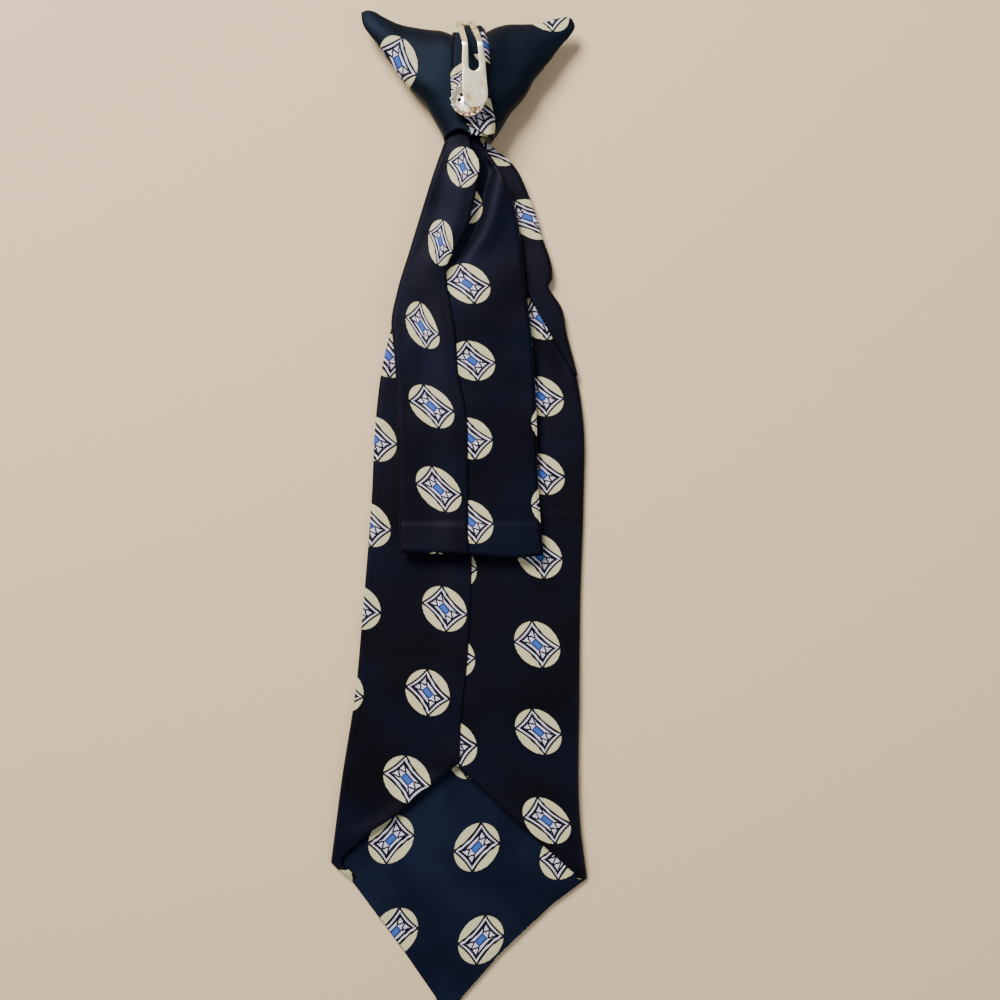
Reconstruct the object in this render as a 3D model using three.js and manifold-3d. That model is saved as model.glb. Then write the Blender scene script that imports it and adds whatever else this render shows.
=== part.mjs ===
// A child's clip-on necktie, lying face down: front on the floor at z = 0, back upwards.
// Millimetres, +Z up, +Y towards the knot, -Y towards the pointed tip.
// The origin is the middle of the tie's outline, on the floor.
import * as THREE from 'three';
import { mergeVertices } from 'three/addons/utils/BufferGeometryUtils.js';
import Module from 'manifold-3d';

const wasm = await Module();
wasm.setup();

// Cloth and how it lies
const PLY = 1.0; // one wall of cloth
const SEAT = 0.3; // air between two plies that lie on each other
const LAP = 4; // how far one flap covers the other along a back seam
const HEM = 1.2; // turned edge round the point
const TUCK = 5; // how far both blades reach up into the knot

// Whole tie
const TIE_LENGTH = 283;

// Wide front blade
const BLADE_WIDTH = 72.4;
const OPENING_LEFT = { apex: 0.295, corner: 0.18 }; // shares of the blade's drop, from the tip
const OPENING_RIGHT = { apex: 0.305, corner: 0.163 };
const TIPPING_TOP = 0.335; // share of the drop at which the tipping ends under the flaps
const FLAPS_DOWN = { from: 0.39, to: 0.473 }; // the flaps sink where the tipping has ended
const PLEAT_HEIGHT = 1.2; // how far the pleat under the knot stands up along the right fold

// Narrow tail behind it
const TAIL_DROP = 115.5; // below the knot
const TAIL_WIDTH = 39.8;
const TAIL_OFFSET = 2.4; // its axis lies to the right of the wide blade's

// Knot
const KNOT_WIDTH = 59.4;
const KNOT_HEIGHT = 36.2;
const KNOT_MOUTH = 14.4; // width at the lower end
const KNOT_PUFF = 0.1; // the crown of the wings stands this much above the band
const KNOT_OFFSET = 2.8;
const NOTCH_DEPTH = 6.4; // the middle of the top edge lies this much below the wing tips
const RIGHT_TIP_DROP = 2; // the right wing tip is lower than the left one
const BAND_WIDTH = 10.4;
const BAND_SHIFT = 0.9; // from the knot's axis to the band's
const WING_COVER = 0.6; // how far the band covers the inner edge of each wing

// Clip
const STRIP = 0.8; // thickness of the spring steel
const STRIP_WIDTH = 5.9;
const TONGUE_WIDTH = 7.2; // at its round end
const SLOT_WIDTH = 2.7;
const SLOT_TOP_WIDTH = 1.7;
const CLIP_REACH = 24.1; // from the hinge line to the tongue's round end
const SLOT_STOP = 9.3; // from the round end to the slot
const DISC_RADIUS = 4.9;
const DISC_HEIGHT = 2.7;
const DISC_FLOOR = 0.8;
const DISC_TEETH = 16;
const DISC_HOLE = 0.55; // radius of the two sewing holes
const RIVET_RADIUS = 1.1;
const BITE = 0.3; // air between the tongue and the teeth

const STACK = 3 * PLY + 2 * SEAT; // height of a folded blade over its seam
const TIP_Y = -TIE_LENGTH / 2;
const KNOT_TOP_Y = TIE_LENGTH / 2;
const MOUTH_Y = KNOT_TOP_Y - KNOT_HEIGHT;
const BLADE_DROP = MOUTH_Y - TIP_Y;
const NECK_RISE = PLY + SEAT; // the blades climb over the knot's front wall
const BAND_LOW = NECK_RISE + 2 * STACK + STRIP + 3 * SEAT; // over both blades and the clip's plate
const BAND_HIGH = BAND_LOW + PLY;
const KNOT_DEPTH = BAND_HIGH + KNOT_PUFF;
const NECK_HALF = KNOT_MOUTH / 2 - PLY - SEAT - 1.2; // half the width of a blade in the mouth

// Wide blade: left and right edge as shares of BLADE_WIDTH, seam likewise to the right of the axis
const BLADE_ROWS = [
  { at: 0, left: 0.07, right: -0.012, seam: 0 },
  { at: 0.024, left: 0.107, right: 0.03, seam: 0 },
  { at: 0.073, left: 0.207, right: 0.156, seam: 0 },
  { at: 0.118, left: 0.313, right: 0.316, seam: 0 },
  { at: 0.16, left: 0.426, right: 0.5, seam: 0 },
  { at: 0.177, left: 0.498, right: 0.492, seam: 0 },
  { at: 0.276, left: 0.456, right: 0.473, seam: 0 },
  { at: 0.377, left: 0.402, right: 0.469, seam: 0.014 },
  { at: 0.473, left: 0.373, right: 0.473, seam: 0.04 },
  { at: 0.596, left: 0.34, right: 0.484, seam: 0.047 },
  { at: 0.691, left: 0.324, right: 0.484, seam: 0.047 },
  { at: 0.75, left: 0.297, right: 0.453, seam: 0.047 },
  { at: 0.786, left: 0.273, right: 0.414, seam: 0.047 },
  { at: 0.832, left: 0.246, right: 0.358, seam: 0.047 },
  { at: 0.866, left: 0.223, right: 0.355, seam: 0.047 },
  { at: 0.943, left: 0.141, right: 0.268, seam: 0.047 },
  { at: 0.972, left: 0.09, right: 0.205, seam: 0.047 },
];

// Tail: shares of TAIL_WIDTH to each side of its own axis
const TAIL_ROWS = [
  { at: 0, left: 0.465, right: 0.535, seam: 0 },
  { at: 0.083, left: 0.472, right: 0.514, seam: 0 },
  { at: 0.27, left: 0.493, right: 0.493, seam: 0 },
  { at: 0.435, left: 0.5, right: 0.472, seam: -0.07 },
  { at: 0.53, left: 0.53, right: 0.44, seam: -0.106 },
  { at: 0.644, left: 0.493, right: 0.415, seam: -0.08 },
  { at: 0.717, left: 0.446, right: 0.394, seam: -0.05 },
  { at: 0.845, left: 0.31, right: 0.331, seam: 0.03 },
  { at: 0.908, left: 0.239, right: 0.282, seam: 0.06 },
  { at: 0.955, left: 0.175, right: 0.21, seam: 0.05 },
];

// Knot: how far each side has spread from the mouth's width to the full width
const KNOT_ROWS = [
  { at: 0, left: 0, right: 0 },
  { at: 0.15, left: 0.114, right: 0.138 },
  { at: 0.3, left: 0.236, right: 0.332 },
  { at: 0.5, left: 0.478, right: 0.501 },
  { at: 0.7, left: 0.66, right: 0.722 },
  { at: 0.85, left: 0.842, right: 0.89 },
  { at: 0.95, left: 0.964, right: 0.987 },
  { at: 1, left: 1, right: 0.927 },
];

const clothNavy = new THREE.MeshStandardMaterial({ color: 0x1b2030, roughness: 0.85, metalness: 0 });
const clothTeal = new THREE.MeshStandardMaterial({ color: 0x1d2c38, roughness: 0.85, metalness: 0 });
const springSteel = new THREE.MeshStandardMaterial({ color: 0xb9ad97, roughness: 0.35, metalness: 1 });
const discSteel = new THREE.MeshStandardMaterial({ color: 0xc9c4ba, roughness: 0.3, metalness: 1 });

// Helpers

const lerp = THREE.MathUtils.lerp;
const smoothstep = THREE.MathUtils.smoothstep;

// A table's columns at any place between its rows
function rowAt(rows, at) {
  const next = rows.findIndex((row) => row.at >= at);
  if (next === 0) return { ...rows[0], at };
  if (next < 0) return { ...rows[rows.length - 1], at };
  const [low, high] = [rows[next - 1], rows[next]];
  const share = (at - low.at) / (high.at - low.at);
  const mixed = { at };
  for (const column of Object.keys(low)) {
    if (column !== 'at') mixed[column] = lerp(low[column], high[column], share);
  }
  return mixed;
}

function placesOf(rows, extra) {
  const sorted = [...rows.map((row) => row.at), ...extra].sort((a, b) => a - b);
  return sorted.filter((at, i) => i === 0 || at - sorted[i - 1] > 1e-6);
}

function signedVolume(positions, index) {
  const [a, b, c] = [new THREE.Vector3(), new THREE.Vector3(), new THREE.Vector3()];
  let volume = 0;
  for (let i = 0; i < index.length; i += 3) {
    a.fromArray(positions, 3 * index[i]);
    b.fromArray(positions, 3 * index[i + 1]);
    c.fromArray(positions, 3 * index[i + 2]);
    volume += a.dot(b.cross(c)) / 6;
  }
  return volume;
}

// One closed body through rings of equal count. Each ring runs out along one side of a wall
// and back along the other, so its two ends are closed by quads across the wall.
function loftRings(rings) {
  const count = rings[0].length;
  const positions = rings.flat().flatMap((point) => point.toArray());
  const index = [];
  for (let r = 0; r + 1 < rings.length; r++) {
    for (let i = 0; i < count; i++) {
      const a = r * count + i;
      const b = r * count + ((i + 1) % count);
      index.push(a, b, b + count, a, b + count, a + count);
    }
  }
  const last = (rings.length - 1) * count;
  for (let i = 0; i < count / 2 - 1; i++) {
    const [a, b, c, d] = [i, i + 1, count - 2 - i, count - 1 - i];
    index.push(b, a, d, b, d, c);
    index.push(last + a, last + b, last + c, last + a, last + c, last + d);
  }
  if (signedVolume(positions, index) < 0) index.reverse();
  const geometry = new THREE.BufferGeometry();
  geometry.setAttribute('position', new THREE.Float32BufferAttribute(positions, 3));
  geometry.setIndex(index);
  geometry.computeVertexNormals();
  return geometry;
}

// A bent sheet of even thickness through rows of points, each row one section in x and z
function clothWall(rows, thickness) {
  const rings = rows.map((row) => {
    const normals = row.map((point, i) => {
      const before = row[Math.max(i - 1, 0)];
      const after = row[Math.min(i + 1, row.length - 1)];
      return new THREE.Vector3(before.z - after.z, 0, after.x - before.x).normalize();
    });
    const side = (sign) => row.map((p, i) => p.clone().addScaledVector(normals[i], (sign * thickness) / 2));
    return [...side(1), ...side(-1).reverse()];
  });
  return loftRings(rings);
}

// A flat strip that is bent along its length: stations of middle point and half width
function bentStrip(stations, thickness) {
  const rings = stations.map(({ middle, half }, i) => {
    const before = stations[Math.max(i - 1, 0)].middle;
    const after = stations[Math.min(i + 1, stations.length - 1)].middle;
    const up = new THREE.Vector3(0, before.z - after.z, after.y - before.y).normalize();
    const corner = (side, sign) =>
      middle.clone().add(new THREE.Vector3(side * half, 0, 0)).addScaledVector(up, (sign * thickness) / 2);
    return [corner(-1, 1), corner(1, 1), corner(1, -1), corner(-1, -1)];
  });
  return loftRings(rings);
}

function toSolid(geometry) {
  const bare = geometry.clone();
  bare.deleteAttribute('normal');
  bare.deleteAttribute('uv');
  const merged = mergeVertices(bare, 1e-4);
  const vertProperties = new Float32Array(merged.attributes.position.array);
  const triVerts = new Uint32Array(merged.index.array);
  return new wasm.Manifold(new wasm.Mesh({ numProp: 3, vertProperties, triVerts }));
}

function toGeometry(solid) {
  const mesh = solid.getMesh();
  const geometry = new THREE.BufferGeometry();
  geometry.setAttribute('position', new THREE.Float32BufferAttribute(Array.from(mesh.vertProperties), 3));
  geometry.setIndex(Array.from(mesh.triVerts));
  geometry.computeVertexNormals();
  return geometry;
}

// An upright round pin or cutter between two heights
function uprightPin(x, y, radius, low, high, sides) {
  const pin = new THREE.CylinderGeometry(radius, radius, high - low, sides);
  pin.rotateX(Math.PI / 2);
  pin.translate(x, y, (low + high) / 2);
  return toSolid(pin);
}

// Folded blades

// The blades leave the floor just below the knot, to climb into its mouth
const RISE_START_Y = MOUTH_Y - 33;
const RISE_END_Y = MOUTH_Y - 3;

function neckRise(y) {
  return NECK_RISE * THREE.MathUtils.clamp((y - RISE_START_Y) / (RISE_END_Y - RISE_START_Y), 0, 1);
}

// One section of a blade: back along the left flap, round the left fold, across the front panel,
// round the right fold and along the right flap. The left flap steps up where it laps over.
function foldedSection({ y, left, right, leftEdge, rightEdge, base, flap, over, pleat }) {
  const low = base + PLY / 2;
  const radius = (flap - low) / 2;
  const middle = (flap + low) / 2;
  const leftFold = left + PLY / 2 + radius;
  const rightFold = right - PLY / 2 - radius;
  const leftRun = leftEdge - leftFold;
  const rightRun = rightFold - rightEdge;
  const lap = Math.min(LAP, 0.35 * leftRun);
  const points = [];
  const add = (x, z) => points.push(new THREE.Vector3(x, y, z));
  add(leftEdge, flap + over);
  add(leftEdge - lap * 1.15, flap + over);
  add(leftEdge - Math.min(lap + 2.6, 0.6 * leftRun), flap);
  add(leftFold + 0.2 * leftRun, flap);
  for (let i = 0; i <= 5; i++) {
    const turn = Math.PI * (0.5 + i / 5);
    add(leftFold + radius * Math.cos(turn), middle + radius * Math.sin(turn));
  }
  for (const share of [0.25, 0.5, 0.75]) add(lerp(leftFold, rightFold, share), low);
  for (let i = 0; i <= 5; i++) {
    const turn = Math.PI * (-0.5 + i / 5);
    add(rightFold + radius * Math.cos(turn), middle + radius * Math.sin(turn) + (i === 5 ? pleat : 0));
  }
  add(rightFold - 0.3 * rightRun, flap + pleat);
  add(rightFold - 0.5 * rightRun, flap);
  add(rightEdge, flap);
  return points;
}

// Where the free edges of the two flaps lie: at the seam, or along the opening over the point
function flapEdge(at, opening, closedX, foldX, hem) {
  const share = (opening.apex - at) / (opening.apex - opening.corner);
  const slanted = lerp(closedX, foldX, THREE.MathUtils.clamp(share, 0, 1));
  return closedX < foldX ? Math.min(slanted, foldX - hem) : Math.max(slanted, foldX + hem);
}

function bladeRow(at) {
  const y = TIP_Y + at * BLADE_DROP;
  const row = rowAt(BLADE_ROWS, at);
  const left = -row.left * BLADE_WIDTH;
  const right = row.right * BLADE_WIDTH;
  const sunk = smoothstep(at, FLAPS_DOWN.from, FLAPS_DOWN.to);
  const flap = neckRise(y) + 1.5 * PLY + SEAT + (1 - sunk) * (PLY + SEAT);
  return { at, y, left, right, seam: row.seam * BLADE_WIDTH, base: neckRise(y), flap };
}

// The pleat stands up where the blade starts to narrow
function pleatAt(at) {
  return PLEAT_HEIGHT * smoothstep(at, 0.72, 0.786) * (1 - smoothstep(at, 0.832, 0.866));
}

function bladeSection(at) {
  const row = bladeRow(at);
  const radius = (row.flap - row.base - PLY / 2) / 2;
  const leftFold = row.left + PLY / 2 + radius;
  const rightFold = row.right - PLY / 2 - radius;
  const hem = Math.min(HEM, 0.2 * (rightFold - leftFold));
  const leftEdge = flapEdge(at, OPENING_LEFT, row.seam, leftFold, hem);
  const rightEdge = flapEdge(at, OPENING_RIGHT, row.seam - LAP, rightFold, hem);
  const over = (PLY + SEAT) * smoothstep(at, OPENING_LEFT.apex - 0.02, OPENING_LEFT.apex - 0.004);
  return foldedSection({ ...row, leftEdge, rightEdge, over, pleat: pleatAt(at) });
}

// In the knot's mouth every blade is gathered to the same neck
function neckSection(y, base, half) {
  const middle = KNOT_OFFSET;
  const flap = base + 1.5 * PLY + SEAT;
  const [left, right] = [middle - half, middle + half];
  const leftEdge = middle + 0.2 * half;
  const leftRun = leftEdge - left - PLY / 2 - (flap - base - PLY / 2) / 2;
  const rightEdge = leftEdge - Math.min(LAP, 0.35 * leftRun);
  return foldedSection({ y, left, right, leftEdge, rightEdge, base, flap, over: PLY + SEAT, pleat: 0 });
}

function wideBlade() {
  const extra = [OPENING_LEFT.apex, OPENING_LEFT.apex - 0.02, OPENING_LEFT.corner, OPENING_RIGHT.apex];
  extra.push(OPENING_RIGHT.corner, FLAPS_DOWN.from, 0.43, 0.72, (RISE_START_Y - TIP_Y) / BLADE_DROP);
  const rows = placesOf(BLADE_ROWS, extra).map(bladeSection);
  for (const y of [MOUTH_Y - 0.5, MOUTH_Y + TUCK]) rows.push(neckSection(y, NECK_RISE, NECK_HALF));
  return clothWall(rows, PLY);
}

// Self-cloth lining laid inside the point, its edges inside the turned hem
function bladeTipping() {
  const inset = PLY + SEAT;
  const places = placesOf(BLADE_ROWS, [0.012, TIPPING_TOP]).filter((at) => at >= 0.012 && at <= TIPPING_TOP);
  const rows = places.map((at) => {
    const { y, left, right } = bladeRow(at);
    return [0, 0.25, 0.5, 0.75, 1].map(
      (share) => new THREE.Vector3(lerp(left + inset, right - inset, share), y, 1.5 * PLY + SEAT),
    );
  });
  return clothWall(rows, PLY);
}

function narrowTail() {
  const heightUnder = (y) => neckRise(y) + STACK + SEAT;
  const riseAt = (RISE_START_Y - MOUTH_Y + TAIL_DROP) / TAIL_DROP;
  const rows = placesOf(TAIL_ROWS, [riseAt]).map((at) => {
    const y = MOUTH_Y - TAIL_DROP * (1 - at);
    const row = rowAt(TAIL_ROWS, at);
    const base = heightUnder(y);
    const seam = TAIL_OFFSET + row.seam * TAIL_WIDTH;
    return foldedSection({
      y,
      left: TAIL_OFFSET - row.left * TAIL_WIDTH,
      right: TAIL_OFFSET + row.right * TAIL_WIDTH,
      leftEdge: seam,
      rightEdge: seam - LAP,
      base,
      flap: base + 1.5 * PLY + SEAT,
      over: PLY + SEAT,
      pleat: 0,
    });
  });
  const neckBase = NECK_RISE + STACK + SEAT;
  for (const y of [MOUTH_Y - 0.5, MOUTH_Y + TUCK]) rows.push(neckSection(y, neckBase, NECK_HALF - 0.4));
  return clothWall(rows, PLY);
}

// Knot

const BAND_X = KNOT_OFFSET + BAND_SHIFT;
const BAND_TOP_Y = KNOT_TOP_Y - NOTCH_DEPTH - 1.4;
const WING_TUCK_Z = BAND_LOW - SEAT - PLY / 2; // middle of the wings' cloth where it runs under the band

// The top edge rises from the notch in the middle to the tip of each wing
function knotTopY(x) {
  const share = Math.min(Math.abs(x - KNOT_OFFSET) / (KNOT_WIDTH / 2), 1);
  if (x < KNOT_OFFSET) return KNOT_TOP_Y - NOTCH_DEPTH * (1 - share) ** 0.6;
  const tip = KNOT_TOP_Y - RIGHT_TIP_DROP * share;
  return tip - NOTCH_DEPTH * (1 - share) ** 1.5;
}

// A flattened hollow tube that is open at the back, between the two wings
function knotWrap() {
  const spread = (KNOT_WIDTH - KNOT_MOUTH) / 2;
  const squareness = 0.62;
  const steps = 26;
  const rows = KNOT_ROWS.map((row) => {
    const left = KNOT_OFFSET - KNOT_MOUTH / 2 - row.left * spread + PLY / 2;
    const right = KNOT_OFFSET + KNOT_MOUTH / 2 + row.right * spread - PLY / 2;
    const halfDepth = (KNOT_DEPTH - PLY) / 2;
    const [half, centre] = [(right - left) / 2, (right + left) / 2];
    const innerAngle = (reach) => Math.asin(Math.min(reach / half, 0.97) ** (1 / squareness));
    const from = innerAngle(BAND_X + BAND_WIDTH / 2 - WING_COVER - centre);
    const to = 2 * Math.PI - innerAngle(centre - BAND_X + BAND_WIDTH / 2 - WING_COVER);
    return Array.from({ length: steps + 1 }, (_, i) => {
      const turn = lerp(from, to, i / steps);
      const [sin, cos] = [Math.sin(turn), Math.cos(turn)];
      const x = centre + half * Math.sign(sin) * Math.abs(sin) ** squareness;
      const round = KNOT_DEPTH / 2 + halfDepth * Math.sign(cos) * Math.abs(cos) ** squareness;
      const beside = Math.max(Math.abs(x - BAND_X) - BAND_WIDTH / 2 - 0.2, 0);
      const y = lerp(MOUTH_Y, knotTopY(x), row.at);
      return new THREE.Vector3(x, y, Math.min(round, WING_TUCK_Z + 0.5 * beside));
    });
  });
  return clothWall(rows, PLY);
}

// Clip: base plate under the band, a tight bend over the band's top edge, then the forked tongue

const PLATE_Z = BAND_LOW - SEAT - STRIP / 2;
const HINGE_Z = BAND_HIGH + SEAT + STRIP / 2; // middle of the strip on top of the bend
const BEND_RADIUS = (HINGE_Z - PLATE_Z) / 2;
const HINGE_Y = BAND_TOP_Y + SEAT + 0.6;
const CLIP_X = KNOT_OFFSET - 0.2; // middle of the strip at the bend
const DISC_LOW = BAND_HIGH + SEAT;
const DISC_TOP = DISC_LOW + DISC_HEIGHT;
const DISC_X = KNOT_OFFSET + 0.2;
const DISC_Y = HINGE_Y - CLIP_REACH + 3.6;

const TONGUE_END_Z = DISC_TOP + BITE + STRIP / 2;

// Tongue: reach from the hinge as a share of CLIP_REACH, rise above the hinge as a share of
// LEG_RISE, and shift to the right as a share of CLIP_SKEW
const LEG_RISE = 5.6;
const CLIP_SKEW = 2.3;
const TONGUE_ROWS = [
  { at: 0.006, rise: 0, shift: 0 },
  { at: 0.045, rise: 0.05, shift: 0.12 },
  { at: 0.13, rise: 0.4, shift: 0.38 },
  { at: 0.21, rise: 0.82, shift: 0.65 },
  { at: 0.27, rise: 1, shift: 0.76 },
  { at: 0.33, rise: 0.97, shift: 0.78 },
];

function tongueStations() {
  const stations = TONGUE_ROWS.map((row) => ({
    middle: new THREE.Vector3(
      CLIP_X + row.shift * CLIP_SKEW,
      HINGE_Y - row.at * CLIP_REACH,
      HINGE_Z + row.rise * LEG_RISE,
    ),
    half: STRIP_WIDTH / 2,
  }));
  const bend = stations[stations.length - 1].middle;
  const end = new THREE.Vector3(CLIP_X + CLIP_SKEW, HINGE_Y - CLIP_REACH, TONGUE_END_Z);
  const length = bend.y - end.y;
  const round = TONGUE_WIDTH / 2;
  const add = (fromEnd, half) =>
    stations.push({ middle: end.clone().lerp(bend, fromEnd / length), half });
  add(round, round);
  for (const turn of [35, 60, 78]) {
    const angle = THREE.MathUtils.degToRad(turn);
    add(round * (1 - Math.sin(angle)), round * Math.cos(angle));
  }
  return stations;
}

// The slot runs up between the two prongs of the fork and narrows towards the bend
function slotCutter(stations) {
  const end = HINGE_Y - CLIP_REACH;
  const lowY = end + SLOT_STOP + SLOT_WIDTH / 2;
  const outline = stations
    .filter(({ middle }) => middle.y > lowY && middle.y < HINGE_Y - 0.4)
    .map(({ middle }) => ({
      x: middle.x,
      y: middle.y,
      half: lerp(SLOT_WIDTH, SLOT_TOP_WIDTH, (middle.y - lowY) / (HINGE_Y - lowY)) / 2,
    }));
  const bend = stations[TONGUE_ROWS.length - 1].middle;
  const share = (lowY - end) / (bend.y - end);
  const lowX = lerp(CLIP_X + CLIP_SKEW, bend.x, share);
  const shape = new THREE.Shape();
  shape.moveTo(lowX - SLOT_WIDTH / 2, lowY);
  shape.absarc(lowX, lowY, SLOT_WIDTH / 2, Math.PI, 2 * Math.PI, false);
  for (const { x, y, half } of [...outline].reverse()) shape.lineTo(x + half, y);
  for (const { x, y, half } of outline) shape.lineTo(x - half, y);
  shape.closePath();
  const cutter = new THREE.ExtrudeGeometry(shape, { depth: 20, bevelEnabled: false, curveSegments: 6 });
  cutter.translate(0, 0, HINGE_Z - 5);
  return toSolid(cutter);
}

function clipTongue() {
  const stations = tongueStations();
  return toGeometry(toSolid(bentStrip(stations, STRIP)).subtract(slotCutter(stations)));
}

function clipBase() {
  const stations = [];
  const half = STRIP_WIDTH / 2;
  const add = (x, y, z) => stations.push({ middle: new THREE.Vector3(x, y, z), half });
  add(DISC_X, DISC_Y - DISC_RADIUS, PLATE_Z);
  add(DISC_X, DISC_Y, PLATE_Z);
  add(CLIP_X, BAND_TOP_Y, PLATE_Z);
  for (let i = 0; i <= 6; i++) {
    const turn = Math.PI * (-0.5 + i / 6);
    add(CLIP_X, HINGE_Y + 0.15 + BEND_RADIUS * Math.cos(turn), HINGE_Z - BEND_RADIUS + BEND_RADIUS * Math.sin(turn));
  }
  const hole = uprightPin(DISC_X, DISC_Y, RIVET_RADIUS + SEAT, PLATE_Z - 2, PLATE_Z + 2, 12);
  return toGeometry(toSolid(bentStrip(stations, STRIP)).subtract(hole));
}

// Cloth band up the middle of the knot's back, with a hole for the disc's rivet
function knotBand() {
  const z = (BAND_LOW + BAND_HIGH) / 2;
  const stations = [
    { middle: new THREE.Vector3(BAND_X, MOUTH_Y + 0.4, z), half: 0.44 * BAND_WIDTH },
    { middle: new THREE.Vector3(BAND_X, MOUTH_Y + 5, z), half: 0.5 * BAND_WIDTH },
    { middle: new THREE.Vector3(BAND_X, BAND_TOP_Y - 4, z), half: 0.5 * BAND_WIDTH },
    { middle: new THREE.Vector3(BAND_X, BAND_TOP_Y, z), half: 0.46 * BAND_WIDTH },
  ];
  const hole = uprightPin(DISC_X, DISC_Y, RIVET_RADIUS + SEAT, BAND_LOW - 1, BAND_HIGH + 1, 12);
  return toGeometry(toSolid(bentStrip(stations, PLY)).subtract(hole));
}

// A shallow cup whose rim is cut into pointed teeth, on a rivet through band and plate
function clipDisc() {
  const columns = 2 * DISC_TEETH;
  const ring = (radius, height) =>
    Array.from({ length: columns }, (_, i) => {
      const [share, z] = i % 2 ? [1, height.valley] : [radius.tooth ?? 1, height.tip];
      const angle = (2 * Math.PI * i) / columns;
      const reach = DISC_RADIUS * radius.at * share;
      return new THREE.Vector3(DISC_X + reach * Math.cos(angle), DISC_Y + reach * Math.sin(angle), z);
    });
  const flat = (at, z) => ring({ at }, { tip: z, valley: z });
  const floor = DISC_LOW + DISC_FLOOR;
  const rim = { tip: DISC_TOP, valley: DISC_TOP - 0.45 * DISC_HEIGHT };
  const rings = [
    flat(0.84, DISC_LOW),
    flat(0.92, DISC_LOW + 0.3),
    ring({ at: 0.95, tooth: 1.05 }, rim),
    ring({ at: 0.85, tooth: 1.03 }, rim),
    flat(0.74, floor),
  ];
  const positions = rings.flat().flatMap((point) => point.toArray());
  const index = [];
  for (let r = 0; r + 1 < rings.length; r++) {
    for (let i = 0; i < columns; i++) {
      const a = r * columns + i;
      const b = r * columns + ((i + 1) % columns);
      index.push(a, b, b + columns, a, b + columns, a + columns);
    }
  }
  positions.push(DISC_X, DISC_Y, DISC_LOW, DISC_X, DISC_Y, floor);
  const [lowPole, highPole] = [rings.length * columns, rings.length * columns + 1];
  const top = (rings.length - 1) * columns;
  for (let i = 0; i < columns; i++) {
    const next = (i + 1) % columns;
    index.push(next, i, lowPole, top + i, top + next, highPole);
  }
  if (signedVolume(positions, index) < 0) index.reverse();
  const cup = new THREE.BufferGeometry();
  cup.setAttribute('position', new THREE.Float32BufferAttribute(positions, 3));
  cup.setIndex(index);
  let solid = toSolid(cup);
  solid = solid.add(uprightPin(DISC_X, DISC_Y, RIVET_RADIUS, PLATE_Z - STRIP / 2 - SEAT, floor - 0.2, 12));
  for (const side of [-1, 1]) {
    const y = DISC_Y + side * 0.32 * DISC_RADIUS + RIVET_RADIUS;
    const x = DISC_X - 0.5 * DISC_RADIUS;
    solid = solid.subtract(uprightPin(x, y, DISC_HOLE, DISC_LOW - 1, DISC_TOP + 1, 8));
  }
  return toGeometry(solid);
}

// Assembly

const tie = new THREE.Group();
const pieces = [
  ['wide_blade', wideBlade(), clothNavy],
  ['blade_tipping', bladeTipping(), clothTeal],
  ['narrow_tail', narrowTail(), clothNavy],
  ['knot_wrap', knotWrap(), clothNavy],
  ['knot_band', knotBand(), clothNavy],
  ['clip_base', clipBase(), springSteel],
  ['clip_tongue', clipTongue(), springSteel],
  ['clip_disc', clipDisc(), discSteel],
];
for (const [name, geometry, material] of pieces) {
  const mesh = new THREE.Mesh(geometry, material);
  mesh.name = name;
  tie.add(mesh);
}

export default tie;
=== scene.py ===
# %% [markdown]
# # A child's clip-on tie, lying on its face
#
# The real thing is folded cloth round a soft filling, with a spring steel clip behind its knot.
# The frame is loaded first. It holds plain solids of the right size and place, and every piece
# below is fitted into the space of one of them and then takes its place.

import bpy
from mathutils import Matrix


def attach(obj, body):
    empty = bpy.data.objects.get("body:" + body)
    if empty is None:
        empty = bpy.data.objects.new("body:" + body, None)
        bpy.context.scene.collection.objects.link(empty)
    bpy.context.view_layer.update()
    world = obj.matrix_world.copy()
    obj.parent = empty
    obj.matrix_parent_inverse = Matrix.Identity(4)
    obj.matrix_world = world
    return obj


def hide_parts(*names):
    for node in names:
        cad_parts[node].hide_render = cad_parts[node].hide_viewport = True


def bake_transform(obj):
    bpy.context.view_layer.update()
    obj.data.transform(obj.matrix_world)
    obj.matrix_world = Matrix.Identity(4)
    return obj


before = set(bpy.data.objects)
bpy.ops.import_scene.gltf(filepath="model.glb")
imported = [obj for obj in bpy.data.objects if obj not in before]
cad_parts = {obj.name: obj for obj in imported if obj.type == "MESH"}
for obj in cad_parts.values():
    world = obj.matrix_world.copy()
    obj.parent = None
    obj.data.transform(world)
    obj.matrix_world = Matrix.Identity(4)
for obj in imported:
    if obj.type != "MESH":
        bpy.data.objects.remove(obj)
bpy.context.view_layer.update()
print("solids", sorted(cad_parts))

# %% [markdown]
# Lengths below are in millimetres, because a tie maker thinks in them, and Blender gets metres.
# A partial is a function with its first value filled in already, which saves repeating it.

# %% Units and libraries
import math
from functools import partial

import bmesh
import bpy
import numpy as np
from mathutils import Vector, noise

MM = 0.001

# %% [markdown]
# ## The camera
#
# The picture was taken from straight above, about 300 mm away, with the point of the tie just
# outside its lower edge. The lens follows from the 285 mm that the picture is wide at the floor.

# %% Camera
CAMERA_PLACE = (11.7, 4.85, 300.0)
PICTURE_WIDTH = 285.0
SENSOR_WIDTH = 36.0
lens = bpy.data.cameras.new("camera")
lens.sensor_width = SENSOR_WIDTH
lens.lens = SENSOR_WIDTH * CAMERA_PLACE[2] / PICTURE_WIDTH
lens.clip_start = 0.01
lens.clip_end = 10.0
camera = bpy.data.objects.new("camera", lens)
camera.location = Vector(CAMERA_PLACE) * MM
bpy.context.scene.collection.objects.link(camera)
bpy.context.scene.camera = camera
print("lens", round(lens.lens, 2), "mm")

# %% [markdown]
# ## Soft light
#
# One broad lamp stands up and to the left, so that folds throw their shadow down and to the
# right. A weaker one fills from the other side, and the world adds an even, faintly blue grey.


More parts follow.
